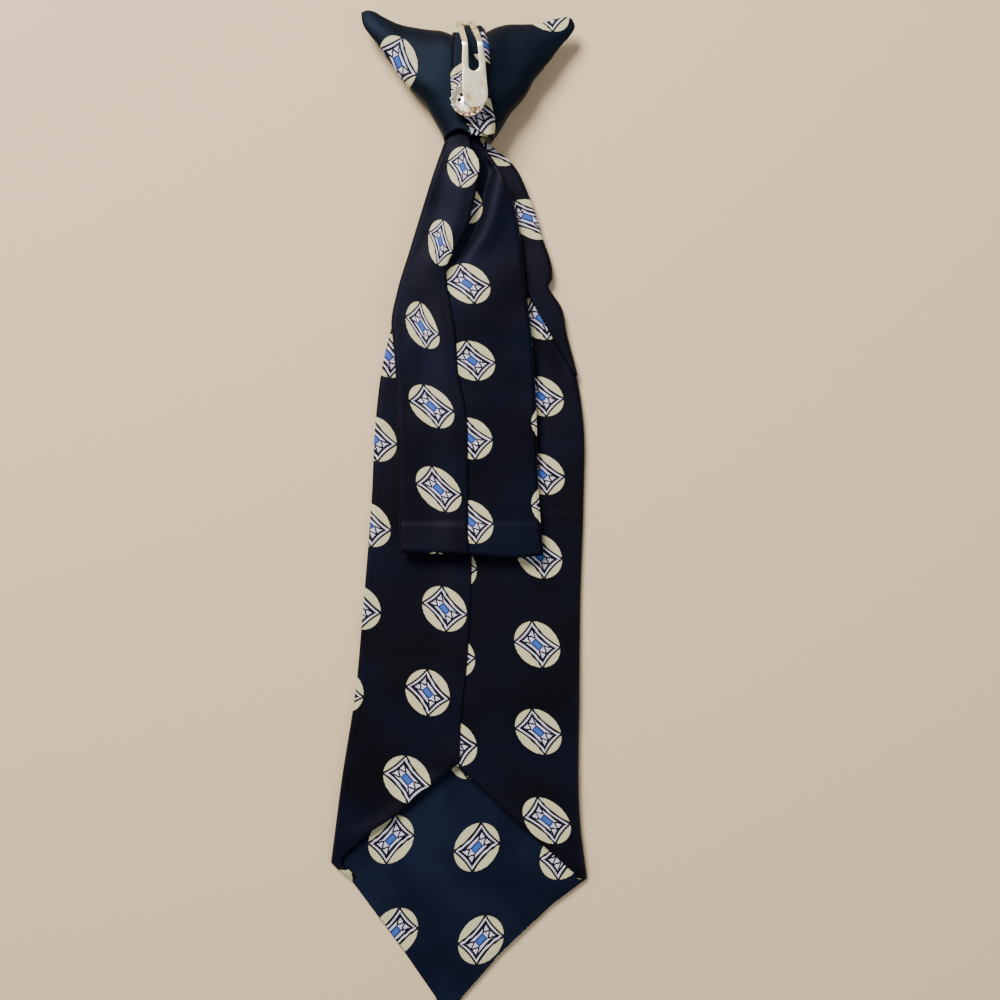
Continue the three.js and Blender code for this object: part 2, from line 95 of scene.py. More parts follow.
# %% Lamps and world
def add_lamp(name, place, size, power, colour):
    lamp = bpy.data.lights.new(name, "AREA")
    lamp.shape = "DISK"
    lamp.size = size
    lamp.energy = power
    lamp.color = colour
    holder = bpy.data.objects.new(name, lamp)
    holder.location = place
    holder.rotation_euler = (-Vector(place)).to_track_quat("-Z", "Y").to_euler()
    bpy.context.scene.collection.objects.link(holder)


add_lamp("key", place=(-0.38, 0.62, 0.72), size=0.5, power=24.0, colour=(1.0, 0.97, 0.93))
add_lamp("fill", place=(0.7, -0.3, 0.8), size=0.8, power=4.0, colour=(0.9, 0.95, 1.0))

world = bpy.data.worlds.new("room")
world.use_nodes = True
sky = world.node_tree.nodes["Background"].inputs
sky["Color"].default_value = (0.9, 0.94, 1.0, 1.0)
sky["Strength"].default_value = 0.32
bpy.context.scene.world = world

# %% [markdown]
# ## Helpers for node trees
#
# A Math node is needed dozens of times below. These helpers place one, and link or type in
# what it is given. Others start a material and give it a bump.


# %% Node helpers
def feed(tree, socket, value):
    if isinstance(value, bpy.types.NodeSocket):
        tree.links.new(value, socket)
    else:
        socket.default_value = value


def calc(tree, operation, *values):
    made = tree.nodes.new("ShaderNodeMath")
    made.operation = operation
    for socket, value in zip(made.inputs, values):
        feed(tree, socket, value)
    return made.outputs[0]


def ramp(tree, value, start, end, low=0.0, high=1.0):
    made = tree.nodes.new("ShaderNodeMapRange")
    made.interpolation_type = "SMOOTHSTEP"
    for socket, given in zip(made.inputs, (value, start, end, low, high)):
        feed(tree, socket, given)
    return made.outputs[0]


def mix(tree, share, first, second):
    made = tree.nodes.new("ShaderNodeMix")
    made.data_type = "RGBA"
    for index, given in ((0, share), (6, first), (7, second)):
        feed(tree, made.inputs[index], given)
    return made.outputs[2]


def speckle(tree, place, scale, detail=2.0):
    made = tree.nodes.new("ShaderNodeTexNoise")
    feed(tree, made.inputs["Vector"], place)
    made.inputs["Scale"].default_value = scale
    made.inputs["Detail"].default_value = detail
    return made.outputs["Fac"]


def new_group(name, inputs, outputs):
    group = bpy.data.node_groups.new(name, "ShaderNodeTree")
    for label, kind in inputs:
        group.interface.new_socket(label, in_out="INPUT", socket_type=kind)
    for label, kind in outputs:
        group.interface.new_socket(label, in_out="OUTPUT", socket_type=kind)
    entry = group.nodes.new("NodeGroupInput")
    leave = group.nodes.new("NodeGroupOutput")
    return group, entry.outputs, leave.inputs


def use_group(tree, group, *values):
    made = tree.nodes.new("ShaderNodeGroup")
    made.node_tree = group
    for socket, value in zip(made.inputs, values):
        feed(tree, socket, value)
    return made.outputs


def new_material(name):
    material = bpy.data.materials.new(name)
    material.use_nodes = True
    return material, material.node_tree, material.node_tree.nodes["Principled BSDF"]


def add_bump(tree, shader, height, distance, strength):
    bump = tree.nodes.new("ShaderNodeBump")
    bump.inputs["Distance"].default_value = distance
    bump.inputs["Strength"].default_value = strength
    tree.links.new(height, bump.inputs["Height"])
    tree.links.new(bump.outputs["Normal"], shader.inputs["Normal"])


# %% [markdown]
# ## The printed pattern
#
# The cloth carries rows of cream ovals, each with a four-cornered frame inside whose sides bow
# inwards, and a small blue box in the middle. It is a common necktie pattern. The whole of it is
# worked out from the cloth's own flat coordinates, so it bends and folds with the cloth. An oval
# sits wherever U and V are both a multiple of the pitch.
#
# On the cloth the rows and columns of ovals cross at about 82 degrees, not squarely. So the two
# diagonals, along and across an oval, are scaled by different amounts.

# %% Oval print group
PITCH = 24.0  # from one oval to the next, in millimetres
RIB = 0.62  # from rib to rib of the twill, whose ribs also make the print's edges uneven
RIB_SLOPE = 0.8
SLANT_LENGTH = 1.28  # length of the slanted direction, from the slope
ALONG_SCALE = 0.657
ASIDE_SCALE = 0.757
INK = (0.004, 0.004, 0.008, 1.0)
CREAM = (0.52, 0.48, 0.28, 1.0)
LILAC = (0.58, 0.54, 0.63, 1.0)
BLUE = (0.045, 0.1, 0.36, 1.0)
DEEP_BLUE = (0.01, 0.02, 0.10, 1.0)

print_group, source, result = new_group(
    "oval print",
    [("Cloth place", "NodeSocketVector")],
    [("Colour", "NodeSocketColor"), ("Oval", "NodeSocketFloat")],
)
work_out = partial(calc, print_group)
paint_over = partial(mix, print_group)
parts = print_group.nodes.new("ShaderNodeSeparateXYZ")
print_group.links.new(source["Cloth place"], parts.inputs[0])


def in_cell(value):
    half = PITCH * MM / 2
    return work_out("MULTIPLY", work_out("WRAP", value, half, -half), 1 / MM)


cell_x = in_cell(parts.outputs[0])
cell_y = in_cell(parts.outputs[1])
along = work_out("MULTIPLY", work_out("SUBTRACT", cell_x, cell_y), ALONG_SCALE)
aside = work_out("MULTIPLY", work_out("ADD", cell_x, cell_y), ASIDE_SCALE)
far = work_out("ABSOLUTE", along)
wide = work_out("ABSOLUTE", aside)


def bowed_frame(half_length, half_width, bow_long, bow_short):
    """How deep a place is inside a frame whose sides bow inwards, in millimetres."""

    def side(limit, bow, across, reach):
        share = work_out("POWER", work_out("DIVIDE", across, reach), 2.0)
        return work_out("MULTIPLY_ADD", share, bow, limit - bow)

    top = work_out("SUBTRACT", side(half_width, bow_long, far, half_length), wide)
    end = work_out("SUBTRACT", side(half_length, bow_short, wide, half_width), far)
    return work_out("MINIMUM", top, end)


def rib_turns(tree, place):
    """How far round its wave the twill is, in radians, from the split flat coordinates."""
    slant = calc(tree, "MULTIPLY_ADD", place[0], RIB_SLOPE, place[1])
    return calc(tree, "MULTIPLY", slant, 2 * math.pi / (RIB * MM * SLANT_LENGTH))


threads = work_out("SINE", rib_turns(print_group, parts.outputs))


def inked(depth, half_line):
    """1 on a line where the depth is nought, 0 off it. The threads make its edge uneven."""
    off_line = work_out("MULTIPLY_ADD", threads, 0.07, work_out("ABSOLUTE", depth))
    return ramp(print_group, off_line, half_line, half_line + 0.1, 1.0, 0.0)


def filled(depth, soft_edge=0.05):
    """1 inside a shape and 0 outside it."""
    return ramp(print_group, depth, -soft_edge, soft_edge)


def box_mask(limit_far, limit_wide):
    inside_far = work_out("SUBTRACT", limit_far, far)
    inside_wide = work_out("SUBTRACT", limit_wide, wide)
    return filled(work_out("MINIMUM", inside_far, inside_wide), 0.06)


print("print pitch", PITCH, "mm")

# %% Colours of the print
OVAL_HALF = (6.97, 5.66)
OUTER_LINE = 0.24  # half widths of the ink lines
INNER_LINE = 0.3
CROSS_LINE = 0.2
BOX_CORNER = (1.65, 1.0)
BOX = (1.6, 1.08)
BLUE_BOX = (1.25, 0.64)

shares = [work_out("DIVIDE", way, half) for way, half in zip((along, aside), OVAL_HALF)]
squares = [work_out("POWER", share, 2.0) for share in shares]
reach = work_out("SQRT", work_out("ADD", *squares))
oval = ramp(print_group, work_out("MULTIPLY_ADD", threads, 0.008, reach), 0.98, 1.01, 1.0, 0.0)
outer = bowed_frame(half_length=5.35, half_width=3.8, bow_long=0.75, bow_short=0.45)
inner = bowed_frame(half_length=4.15, half_width=2.4, bow_long=0.45, bow_short=0.35)


def slanted_line(slope):
    """Ink along a straight line that starts at a corner of the box."""
    start_far, start_wide = BOX_CORNER
    height = work_out("MULTIPLY_ADD", far, slope, start_wide - slope * start_far)
    line = inked(work_out("SUBTRACT", wide, height), CROSS_LINE)
    return work_out("MULTIPLY", line, ramp(print_group, far, start_far - 0.1, start_far))


crossed = work_out("MAXIMUM", slanted_line(-0.5), slanted_line(0.56))
colour = paint_over(crossed, LILAC, INK)
colour = paint_over(box_mask(*BOX), colour, DEEP_BLUE)
colour = paint_over(box_mask(*BLUE_BOX), colour, BLUE)
colour = paint_over(filled(inner), LILAC, colour)
colour = paint_over(inked(inner, INNER_LINE), colour, INK)
colour = paint_over(filled(outer), CREAM, colour)
colour = paint_over(inked(outer, OUTER_LINE), colour, INK)
print_group.links.new(colour, result["Colour"])
print_group.links.new(oval, result["Oval"])
print("print nodes", len(print_group.nodes))

# %% [markdown]
# ## The twill
#
# Close up, the cloth is a twill: fine slanting ribs. They also come from the flat coordinates,
# as a wave across the slant, and a little noise keeps them from looking drawn.

# %% Twill group
twill_group, source, result = new_group(
    "twill ribs",
    [("Cloth place", "NodeSocketVector")],
    [("Rib", "NodeSocketFloat"), ("Nap", "NodeSocketFloat")],
)
parts = twill_group.nodes.new("ShaderNodeSeparateXYZ")
twill_group.links.new(source["Cloth place"], parts.inputs[0])
turns = rib_turns(twill_group, parts.outputs)
uneven = speckle(twill_group, source["Cloth place"], scale=900.0)
wobble = calc(twill_group, "MULTIPLY", uneven, 2.5)
wave = calc(twill_group, "SINE", calc(twill_group, "ADD", turns, wobble))
nap = speckle(twill_group, source["Cloth place"], scale=2600.0, detail=3.0)
twill_group.links.new(calc(twill_group, "MULTIPLY_ADD", wave, 0.5, 0.5), result["Rib"])
twill_group.links.new(nap, result["Nap"])
print("rib", RIB, "mm")

# %% [markdown]
# ## Cloth materials
#
# The tie is near-black navy. Large faint clouds of bluer slate are partly painted sheen and partly
# random tone, and keep it from being one flat colour; the ribs shade both the ground and the print.
# A trace of sheen is the same everywhere, so it is typed into the shader. Blade, tail, knot and
# point catch the light differently, so each has a ground of its own, which is painted light and shade.


# %% Cloth materials
BLACK = (0.0, 0.0, 0.0, 1.0)


def cloth_material(name, ground, tone_and_sheen_cloud, gloss_tint, sheen):
    material, tree, shader = new_material(name)
    flat = tree.nodes.new("ShaderNodeUVMap")
    flat.uv_map = "cloth"
    place = flat.outputs["UV"]
    pattern = use_group(tree, print_group, place)
    weave = use_group(tree, twill_group, place)
    # Painted sheen: the clouds are lighter, bluer patches that stand in for the cloth's slate sheen, and
    # also vary its tone at random.
    tone_and_sheen_clouds = ramp(tree, speckle(tree, place, scale=45.0, detail=3.0), 0.35, 0.7)
    base = mix(tree, tone_and_sheen_clouds, ground, tone_and_sheen_cloud)
    shown = mix(tree, pattern["Oval"], base, pattern["Colour"])
    shade = calc(tree, "MULTIPLY_ADD", weave["Rib"], 0.3, 0.72)
    shade = calc(tree, "MULTIPLY", shade, calc(tree, "MULTIPLY_ADD", weave["Nap"], 0.5, 0.8))
    tree.links.new(mix(tree, shade, BLACK, shown), shader.inputs["Base Color"])
    tree.links.new(calc(tree, "MULTIPLY_ADD", weave["Nap"], 0.2, 0.42), shader.inputs["Roughness"])
    height = calc(tree, "MULTIPLY_ADD", weave["Nap"], 0.5, weave["Rib"])
    add_bump(tree, shader, height, distance=0.00006, strength=0.5)
    shader.inputs["Specular IOR Level"].default_value = 0.1
    shader.inputs["Specular Tint"].default_value = gloss_tint
    shader.inputs["Sheen Weight"].default_value = sheen
    shader.inputs["Sheen Roughness"].default_value = 0.45
    shader.inputs["Sheen Tint"].default_value = (0.55, 0.65, 0.9, 1.0)
    return material


NAVY_GLOSS = (0.7, 0.66, 1.0, 1.0)
TAIL_GLOSS = (0.62, 0.6, 1.0, 1.0)
TEAL_GLOSS = (0.4, 0.6, 1.0, 1.0)
# Each piece's ground and clouds are painted light and shade for how that piece catches the light; the
# point's are the lightest and bluest.
CLOTHS = [
    ("navy cloth", (0.0016, 0.0012, 0.0018, 1.0), (0.0018, 0.0026, 0.008, 1.0), NAVY_GLOSS, 0.01),
    ("tail cloth", (0.0012, 0.0012, 0.002, 1.0), (0.0015, 0.0026, 0.0084, 1.0), TAIL_GLOSS, 0.01),
    ("knot cloth", (0.001, 0.0014, 0.003, 1.0), (0.0022, 0.0042, 0.0085, 1.0), TEAL_GLOSS, 0.03),
    ("point cloth", (0.003, 0.0036, 0.0105, 1.0), (0.006, 0.0098, 0.0225, 1.0), TEAL_GLOSS, 0.03),
]
cloths = [cloth_material(*given) for given in CLOTHS]
navy_cloth, tail_cloth, knot_cloth, point_cloth = cloths
print("cloths", [cloth.name for cloth in cloths])

# %% [markdown]
# ## Measured lines
#
# Edges and seams are tables of places with a smooth line laid through them. The line is cubic
# between two places and goes straight on past the last one. Two more shapes are used all over:
# a smooth step from 0 to 1, and a bell that is 1 in its middle and fades on both sides.


# %% Smooth line through a table
def line_through(table, at):
    table = np.array(sorted(table), float)
    places, values = table[:, 0], table[:, 1]
    at = np.asarray(at, float)
    gaps = np.diff(places)
    slopes = np.diff(values) / gaps
    inner_slopes = (slopes[:-1] * gaps[1:] + slopes[1:] * gaps[:-1]) / (gaps[:-1] + gaps[1:])
    tangents = np.concatenate([[slopes[0]], inner_slopes, [slopes[-1]]])
    held = np.clip(at, places[0], places[-1])
    low = np.clip(np.searchsorted(places, held, "right") - 1, 0, len(gaps) - 1)
    t = (held - places[low]) / gaps[low]
    smooth = (
        (2 * t**3 - 3 * t**2 + 1) * values[low]
        + (t**3 - 2 * t**2 + t) * gaps[low] * tangents[low]
        + (-2 * t**3 + 3 * t**2) * values[low + 1]
        + (t**3 - t**2) * gaps[low] * tangents[low + 1]
    )
    beyond_end = np.where(at > held, slopes[-1], slopes[0]) * (at - held)
    return smooth + beyond_end


def corners_through(table, at):
    """The same with straight lines, for edges that have real corners."""
    table = np.array(sorted(table), float)
    return np.interp(at, table[:, 0], table[:, 1])


def step(value, start, end):
    """0 up to start, 1 from end on, and a smooth rise between them."""
    t = np.clip((np.asarray(value, float) - start) / (end - start), 0.0, 1.0)
    return t * t * (3 - 2 * t)


def bell(distance, width):
    return np.exp(-((distance / width) ** 2))


def ripple(x, y, size, seed):
    """Gentle waves of cloth: smooth noise with bumps of about that size in millimetres."""
    values = [noise.noise(Vector((a / size, b / size, seed))) for a, b in zip(x.flat, y.flat)]
    return np.array(values).reshape(x.shape)


# %% [markdown]
# ## Cut flat, then fold
#
# Every cloth piece starts as a flat grid. Each of its points is then moved to where the folded
# cloth has it, and its flat place stays behind as the UV map. The grid can change its pattern
# place at one column, where a real tie has a seam or a hidden pleat.


# %% Cloth grid
def grid_place(vert, rows, columns):
    """Row and column of a point in a fresh grid, which is 1 wide and 1 high."""
    return round((vert.co.y + 0.5) * (rows - 1)), round((vert.co.x + 0.5) * (columns - 1))


def cloth_piece(name, x, y, z, pattern, late_pattern=None, cut=None):
    """x, y, z in millimetres as rows by columns, pattern as (i, j) steps of the print."""
    rows, columns = x.shape
    late_pattern = pattern if late_pattern is None else late_pattern
    cut = columns if cut is None else cut
    work = bmesh.new()
    bmesh.ops.create_grid(work, x_segments=columns - 1, y_segments=rows - 1, size=0.5)
    flat = work.loops.layers.uv.new("cloth")
    places = {vert: grid_place(vert, rows, columns) for vert in work.verts}
    for face in work.faces:
        first = min(places[vert][1] for vert in face.verts)
        steps = pattern if first < cut else late_pattern
        for loop in face.loops:
            r, c = places[loop.vert]
            loop[flat].uv = (steps[0][r, c] * PITCH * MM, steps[1][r, c] * PITCH * MM)
        face.smooth = True
    for vert, (r, c) in places.items():
        vert.co = Vector((x[r, c], y[r, c], z[r, c])) * MM
    return finish_mesh(name, work)


def finish_mesh(name, work):
    mesh = bpy.data.meshes.new(name)
    work.to_mesh(mesh)
    work.free()
    piece = bpy.data.objects.new(name, mesh)
    bpy.context.scene.collection.objects.link(piece)
    return piece


def cloth_area(piece):
    return sum(face.area for face in piece.data.polygons)


CLOTH_THICK = 0.5


def thicken(piece, thickness, offset=0.0):
    wall = piece.modifiers.new("cloth thickness", "SOLIDIFY")
    wall.thickness = thickness * MM
    wall.offset = offset
    wall.use_even_offset = False


def stacked(rows):
    """Rows of (x, z) or (x, y, z) lists, turned into one grid for each letter."""
    return [np.array(values) for values in zip(*rows)]


def spread(y, x):
    """The rows' y places, repeated for every column of x."""
    return np.repeat(y[:, None], x.shape[1], axis=1)


def put_before(rows, *grids):
    """The grids with extra rows before their first ones."""
    return [np.concatenate([row[k] for row in rows] + [grid]) for k, grid in enumerate(grids)]


def choose(where, first, second):
    """One pattern where that is true and the other pattern where it is not."""
    return tuple(np.where(where, first[k], second[k]) for k in range(2))


def eased(count):
    """Steps from 0 to 1 that start small, for places along a round end."""
    return 1 - np.cos(np.linspace(0, math.pi / 2, count))


# %% [markdown]
# A folded blade is one strip of cloth. Seen in section it starts at the free edge of the left
# flap, with a narrow turning under it, runs left to the fold, across the front on the floor,
# round the right fold, and back under the left flap's edge.

# %% Section of a folded blade
TURN_COLUMNS = 5
FLAP_COLUMNS = 34
FOLD_COLUMNS = 8
FRONT_COLUMNS = 24
TURN_DROP = 0.5  # how far the turned edge lies below the flap's face
TURNING = 2.5  # how far it reaches in
ROLL = 0.35  # from the free edge to where the flap is flat
FOLD_REACH = 1.1  # from the outline to where the fold ends
NARROW_FOLD = 0.22  # the same as a share of a narrow blade's width
CURL_REACH = 4.5  # how much of a flap curls up at its free edge
LAP_EASE = 8.0  # over how much the upper flap settles beside the lap


def turned_edge(edge, height, way, length):
    """From the hidden end of the turning to the top of the rolled edge. way is -1 for left."""
    reach_in = np.array([length, 0.5 * length, 0.3, 0.0, 0.12])
    drop = np.array([1.0, 1.0, 0.95, 0.5, 0.08]) * TURN_DROP
    return edge + way * reach_in, height - drop


def folded_section(left, right, left_edge, right_edge, low, high, lap_rise, lap, curl=0.0):
    """One row of a folded blade: its x and z, from the left flap's turning to the right one's."""
    width = right - left
    bend = min(FOLD_REACH, NARROW_FOLD * width)
    middle = (low + high) / 2
    half = (high - low) / 2
    left_start = left + bend
    right_start = right - bend
    left_run = left_edge - left_start
    right_run = right_start - right_edge
    share = np.linspace(0, 1, FLAP_COLUMNS)
    left_x = left_edge - ROLL - (left_run - ROLL) * share
    settled = step(left_edge - left_x, 0.6 * lap, 0.6 * lap + LAP_EASE)
    left_z = high + lap_rise * (1 - settled) + curl * bell(left_edge - left_x, CURL_REACH)
    right_x = right_start - (right_run - ROLL) * share
    right_z = high + curl * bell(right_x - right_edge, CURL_REACH)
    turn = np.linspace(0, math.pi, FOLD_COLUMNS + 2)[1:-1]
    front_x = np.linspace(left_start, right_start, FRONT_COLUMNS)
    left_turning = turned_edge(left_edge, high + lap_rise + curl, -1, min(TURNING, 0.6 * left_run))
    right_turning = turned_edge(right_edge, high + curl, 1, min(TURNING, 0.6 * right_run))
    x = np.concatenate(
        [
            left_turning[0],
            left_x,
            left_start - bend * np.sin(turn),
            front_x,
            right_start + bend * np.sin(turn),
            right_x,
            right_turning[0][::-1],
        ]
    )
    z = np.concatenate(
        [
            left_turning[1],
            left_z,
            middle + half * np.cos(turn),
            np.full(FRONT_COLUMNS, low),
            middle - half * np.cos(turn),
            right_z,
            right_turning[1][::-1],
        ]
    )
    return x, z


LEFT_FOLD = TURN_COLUMNS + FLAP_COLUMNS + FOLD_COLUMNS // 2
RIGHT_FOLD = TURN_COLUMNS + FLAP_COLUMNS + FOLD_COLUMNS + FRONT_COLUMNS + FOLD_COLUMNS // 2
print("columns", 2 * (TURN_COLUMNS + FLAP_COLUMNS + FOLD_COLUMNS) + FRONT_COLUMNS)

# %% [markdown]
# ## The wide blade
#
# Its outline is measured: the point below, the two corners, a long gentle taper, a nick in the
# right edge and the narrow neck that climbs into the knot. Below the corners only a narrow hem
# is left of the flaps, and above them the flaps' free edges run up to the seam.

# %% Wide blade outline
TIP_Y = -141.5
MOUTH_Y = 105.3
LEFT_CORNER = -97.8
RIGHT_CORNER = -102.6
BLADE_LEFT_POINT = [(TIP_Y, -4.4), (-136.2, -6.5), (-121.0, -17.0), (-103.4, -30.2), (LEFT_CORNER, -36.0)]
BLADE_RIGHT_POINT = [(TIP_Y, -2.4), (-136.2, 0.8), (-124.1, 11.5), (-109.9, 26.4), (RIGHT_CORNER, 36.2)]
BLADE_LEFT = [
    (LEFT_CORNER, -36.0), (-74.1, -32.9), (-48.9, -29.0), (-25.2, -26.9), (5.1, -24.5), (28.5, -23.3),
    (43.2, -21.4), (56.0, -18.2), (63.3, -16.0), (80.0, -10.8), (92.0, -7.2), (100.0, -4.2),
    (105.0, -1.8), (110.5, -1.6),
]
BLADE_RIGHT = [
    (RIGHT_CORNER, 36.2), (-88.5, 34.4), (-51.7, 34.0), (-23.5, 34.3), (5.1, 35.2), (26.0, 35.2),
    (39.3, 33.4), (51.9, 30.2), (60.2, 28.2), (63.3, 26.0), (65.6, 25.0), (67.2, 26.0), (69.0, 26.1),
    (79.1, 23.3), (90.6, 19.5), (100.0, 14.4), (105.0, 8.6), (110.5, 7.4),
]
BLADE_SEAM = [
    (TIP_Y, 0.0), (-68.8, 0.1), (-56.9, 0.5), (-44.2, 1.9), (-21.7, 3.2), (-12.1, 3.5), (110.5, 3.6),
]
LEFT_OPENING = [(LEFT_CORNER, -34.9), (-89.1, -25.8), (-84.0, -17.9), (-75.0, -7.7), (-69.0, 0.1)]
RIGHT_OPENING = [(RIGHT_CORNER, 35.0), (-99.2, 31.4), (-87.1, 17.9), (-73.6, 3.8), (-67.0, -4.0)]

blade_y = np.concatenate(
    [
        np.linspace(TIP_Y, RIGHT_CORNER, 44, endpoint=False),
        np.linspace(RIGHT_CORNER, LEFT_CORNER, 5, endpoint=False),
        np.linspace(LEFT_CORNER, -66.0, 34, endpoint=False),
        np.linspace(-66.0, 60.0, 88, endpoint=False),
        np.linspace(60.0, 110.5, 50),
    ]
)


def outline_left(y):
    at_point = corners_through(BLADE_LEFT_POINT, y)
    return np.where(y < LEFT_CORNER, at_point, line_through(BLADE_LEFT, y))


def outline_right(y):
    at_point = corners_through(BLADE_RIGHT_POINT, y)
    return np.where(y < RIGHT_CORNER, at_point, line_through(BLADE_RIGHT, y))


blade_left = outline_left(blade_y)
blade_right = outline_right(blade_y) - 0.5 * step(blade_y, 40.0, 50.0)  # room for the pleat's fold
print("blade", len(blade_y), "rows, widest", round(float((blade_right - blade_left).max()), 1), "mm")

# %% [markdown]
# Heights: the front lies on the floor, the flaps lie on the filling, and over the point they lie
# on the tipping. At the knot the whole blade climbs over the knot's front wall.

# %% Wide blade folded
HEM = 1.5
HEM_THICK = 0.65
FLAP_THICK = 1.95
TIPPING_THICK = 0.55
FRONT_Z = 0.32
NECK_RISE = 1.3
SEAM_LAP = 5.0  # how far the right flap runs on under the left one
LAP_RISE = 0.75  # and how much that lifts the left one


def neck_rise(y):
    return NECK_RISE * step(y, 72.0, 102.0)


def flap_edge_left(y, left):
    edge = np.where(y < -69.0, corners_through(LEFT_OPENING, y), line_through(BLADE_SEAM, y))
    return np.maximum(edge, left + FOLD_REACH + HEM)


def flap_edge_right(y, right):
    seam = line_through(BLADE_SEAM, y) - SEAM_LAP
    edge = np.where(y < -67.0, corners_through(RIGHT_OPENING, y), seam)
    return np.minimum(edge, right - FOLD_REACH - HEM)


def blade_row(y, left, right):
    width = right - left
    if width > 8:
        left_edge = float(flap_edge_left(y, left))
        right_edge = float(flap_edge_right(y, right))
    else:  # near the tip only the hems are left
        hem = min(HEM, 0.16 * width)
        left_edge = left + NARROW_FOLD * width + hem
        right_edge = right - NARROW_FOLD * width - hem
    low = neck_rise(y) + FRONT_Z
    over_tipping = 1.0 - step(y, -52.0, -38.0)
    hem_only = 1.0 - step(y, RIGHT_CORNER - 1.5, RIGHT_CORNER + 3.5)
    thick = HEM_THICK * hem_only + (FLAP_THICK + TIPPING_THICK * over_tipping) * (1.0 - hem_only)
    lap_rise = LAP_RISE * step(y, -72.0, -68.0)
    in_opening = step(y, LEFT_CORNER + 2.0, LEFT_CORNER + 12.0) * (1.0 - step(y, -70.0, -60.0))
    return folded_section(
        left, right, left_edge, right_edge, low, low + thick, lap_rise, lap=4.6, curl=0.9 * in_opening
    )


def blade_waves(x, y):
    return 0.5 * ripple(x, y, size=26.0, seed=3.1) + 0.18 * ripple(x, y, size=9.0, seed=7.7)


blade_x, blade_z = stacked([blade_row(*row) for row in zip(blade_y, blade_left, blade_right)])
blade_yy = spread(blade_y, blade_x)
lift = np.clip(blade_z - neck_rise(blade_yy) - FRONT_Z, 0.0, 1.0)  # 0 for the front, 1 for the flaps
blade_z = blade_z + lift * blade_waves(blade_x, blade_yy)
from_pleat = blade_x - (33.4 - 0.57 * (blade_yy - 39.2))  # how far right of the pleat's free edge
beside_pleat = step(blade_yy, 36.0, 46.0) * (1 - step(blade_yy, 64.0, 72.0))
blade_z = blade_z - 0.9 * lift * bell(from_pleat + 1.0, 3.5) * beside_pleat
press_line = bell(blade_yy - 0.1, 0.7) * step(blade_x, 20.0, 24.0)
blade_z = blade_z + 0.3 * lift * press_line
print("blade height", round(float(blade_z.max()), 1), "mm")

# %% [markdown]
# The print runs across the folds without a break, because the cloth does. Its columns and rows
# were measured on both flaps, and the front between them joins the two. Each column table says
# where a column of ovals runs, and each row table says which row of ovals is at which height.

# %% Wide blade pattern
LEFT_COLUMN = [
    (45.8, -20.0), (22.3, -23.9), (-2.0, -25.6), (-25.3, -28.3), (-48.9, -33.0), (-73.9, -40.6),
    (-98.0, -44.0),
]
LEFT_ROWS = [
    (45.8, 2), (22.3, 1), (-2.0, 0), (-25.4, -1), (-49.0, -2), (-73.4, -3), (-98.1, -4), (-123.0, -5),
]
LEFT_TILT = 0.02  # how much the rows drop or climb per step across
LEFT_PITCH = [(-49.0, 24.4), (-74.0, 26.1)]
RIGHT_COLUMN = [
    (103.6, 11.7), (84.6, 19.3), (56.2, 23.3), (33.5, 23.2), (12.5, 23.5), (-10.9, 22.8), (-36.0, 22.2),
    (-60.5, 22.5), (-85.6, 24.9), (-98.0, 28.0), (-110.0, 41.0),
]
RIGHT_ROWS = [
    (103.6, 5), (84.6, 4), (56.2, 3), (34.2, 2), (12.2, 1), (-10.9, 0), (-36.0, -1), (-60.5, -2),
    (-85.6, -3),
]
RIGHT_TILT = [(-90.0, 0.12), (45.0, 0.12), (78.0, 0.55), (110.0, 0.5)]
RIGHT_STEPS = -3.0  # the right flap's column of ovals lies three steps round from the left one's


def left_flap_pattern(x, y):
    from_column = (x - line_through(LEFT_COLUMN, y)) / corners_through(LEFT_PITCH, y)
    return from_column, line_through(LEFT_ROWS, y) + LEFT_TILT * from_column


def right_flap_pattern(x, y):
    aside_by = (line_through(RIGHT_COLUMN, y) - x) / PITCH
    return RIGHT_STEPS - aside_by, line_through(RIGHT_ROWS, y) + corners_through(RIGHT_TILT, y) * aside_by


def path_pattern(x, y, z, left_pattern, right_pattern, join):
    """Pattern steps over the whole section. Where join is 1 the front meets the right flap's
    steps at its right fold, and where it is 0 it goes on at the pitch."""
    i_left, j_left = left_pattern(x, y)
    i_right, j_right = right_pattern(x, y)
    columns = np.arange(x.shape[1])[None, :]
    left_fold_i, left_fold_j = i_left[:, [LEFT_FOLD]], j_left[:, [LEFT_FOLD]]
    right_fold_i, right_fold_j = i_right[:, [RIGHT_FOLD]], j_right[:, [RIGHT_FOLD]]
    run = np.sqrt(np.diff(x, axis=1) ** 2 + np.diff(z, axis=1) ** 2)
    length = np.concatenate([np.zeros((x.shape[0], 1)), np.cumsum(run, axis=1)], axis=1)
    passed = length - length[:, [LEFT_FOLD]]
    whole = length[:, [RIGHT_FOLD]] - length[:, [LEFT_FOLD]]
    share = passed / whole
    plain_i = left_fold_i - passed / PITCH
    joined_i = left_fold_i + (right_fold_i - left_fold_i) * share
    front_i = plain_i + (joined_i - plain_i) * join
    front_j = left_fold_j + (right_fold_j - left_fold_j) * share * join
    early = choose(columns <= LEFT_FOLD, (i_left, j_left), (front_i, front_j))
    return early, (i_right, j_right)


def mirrored(x, y, start, end):
    """Places folded over the line from start to end."""
    direction = np.array(end, float) - np.array(start, float)
    direction /= np.linalg.norm(direction)
    along_line = (x - start[0]) * direction[0] + (y - start[1]) * direction[1]
    foot_x = start[0] + along_line * direction[0]
    foot_y = start[1] + along_line * direction[1]
    return 2 * foot_x - x, 2 * foot_y - y


joined = 1.0 - step(blade_yy, 20.0, 45.0)
blade_early, blade_late = path_pattern(
    blade_x, blade_yy, blade_z, left_flap_pattern, right_flap_pattern, joined
)
print("blade pattern", round(float(blade_early[0].min()), 1), "to", round(float(blade_early[0].max()), 1))

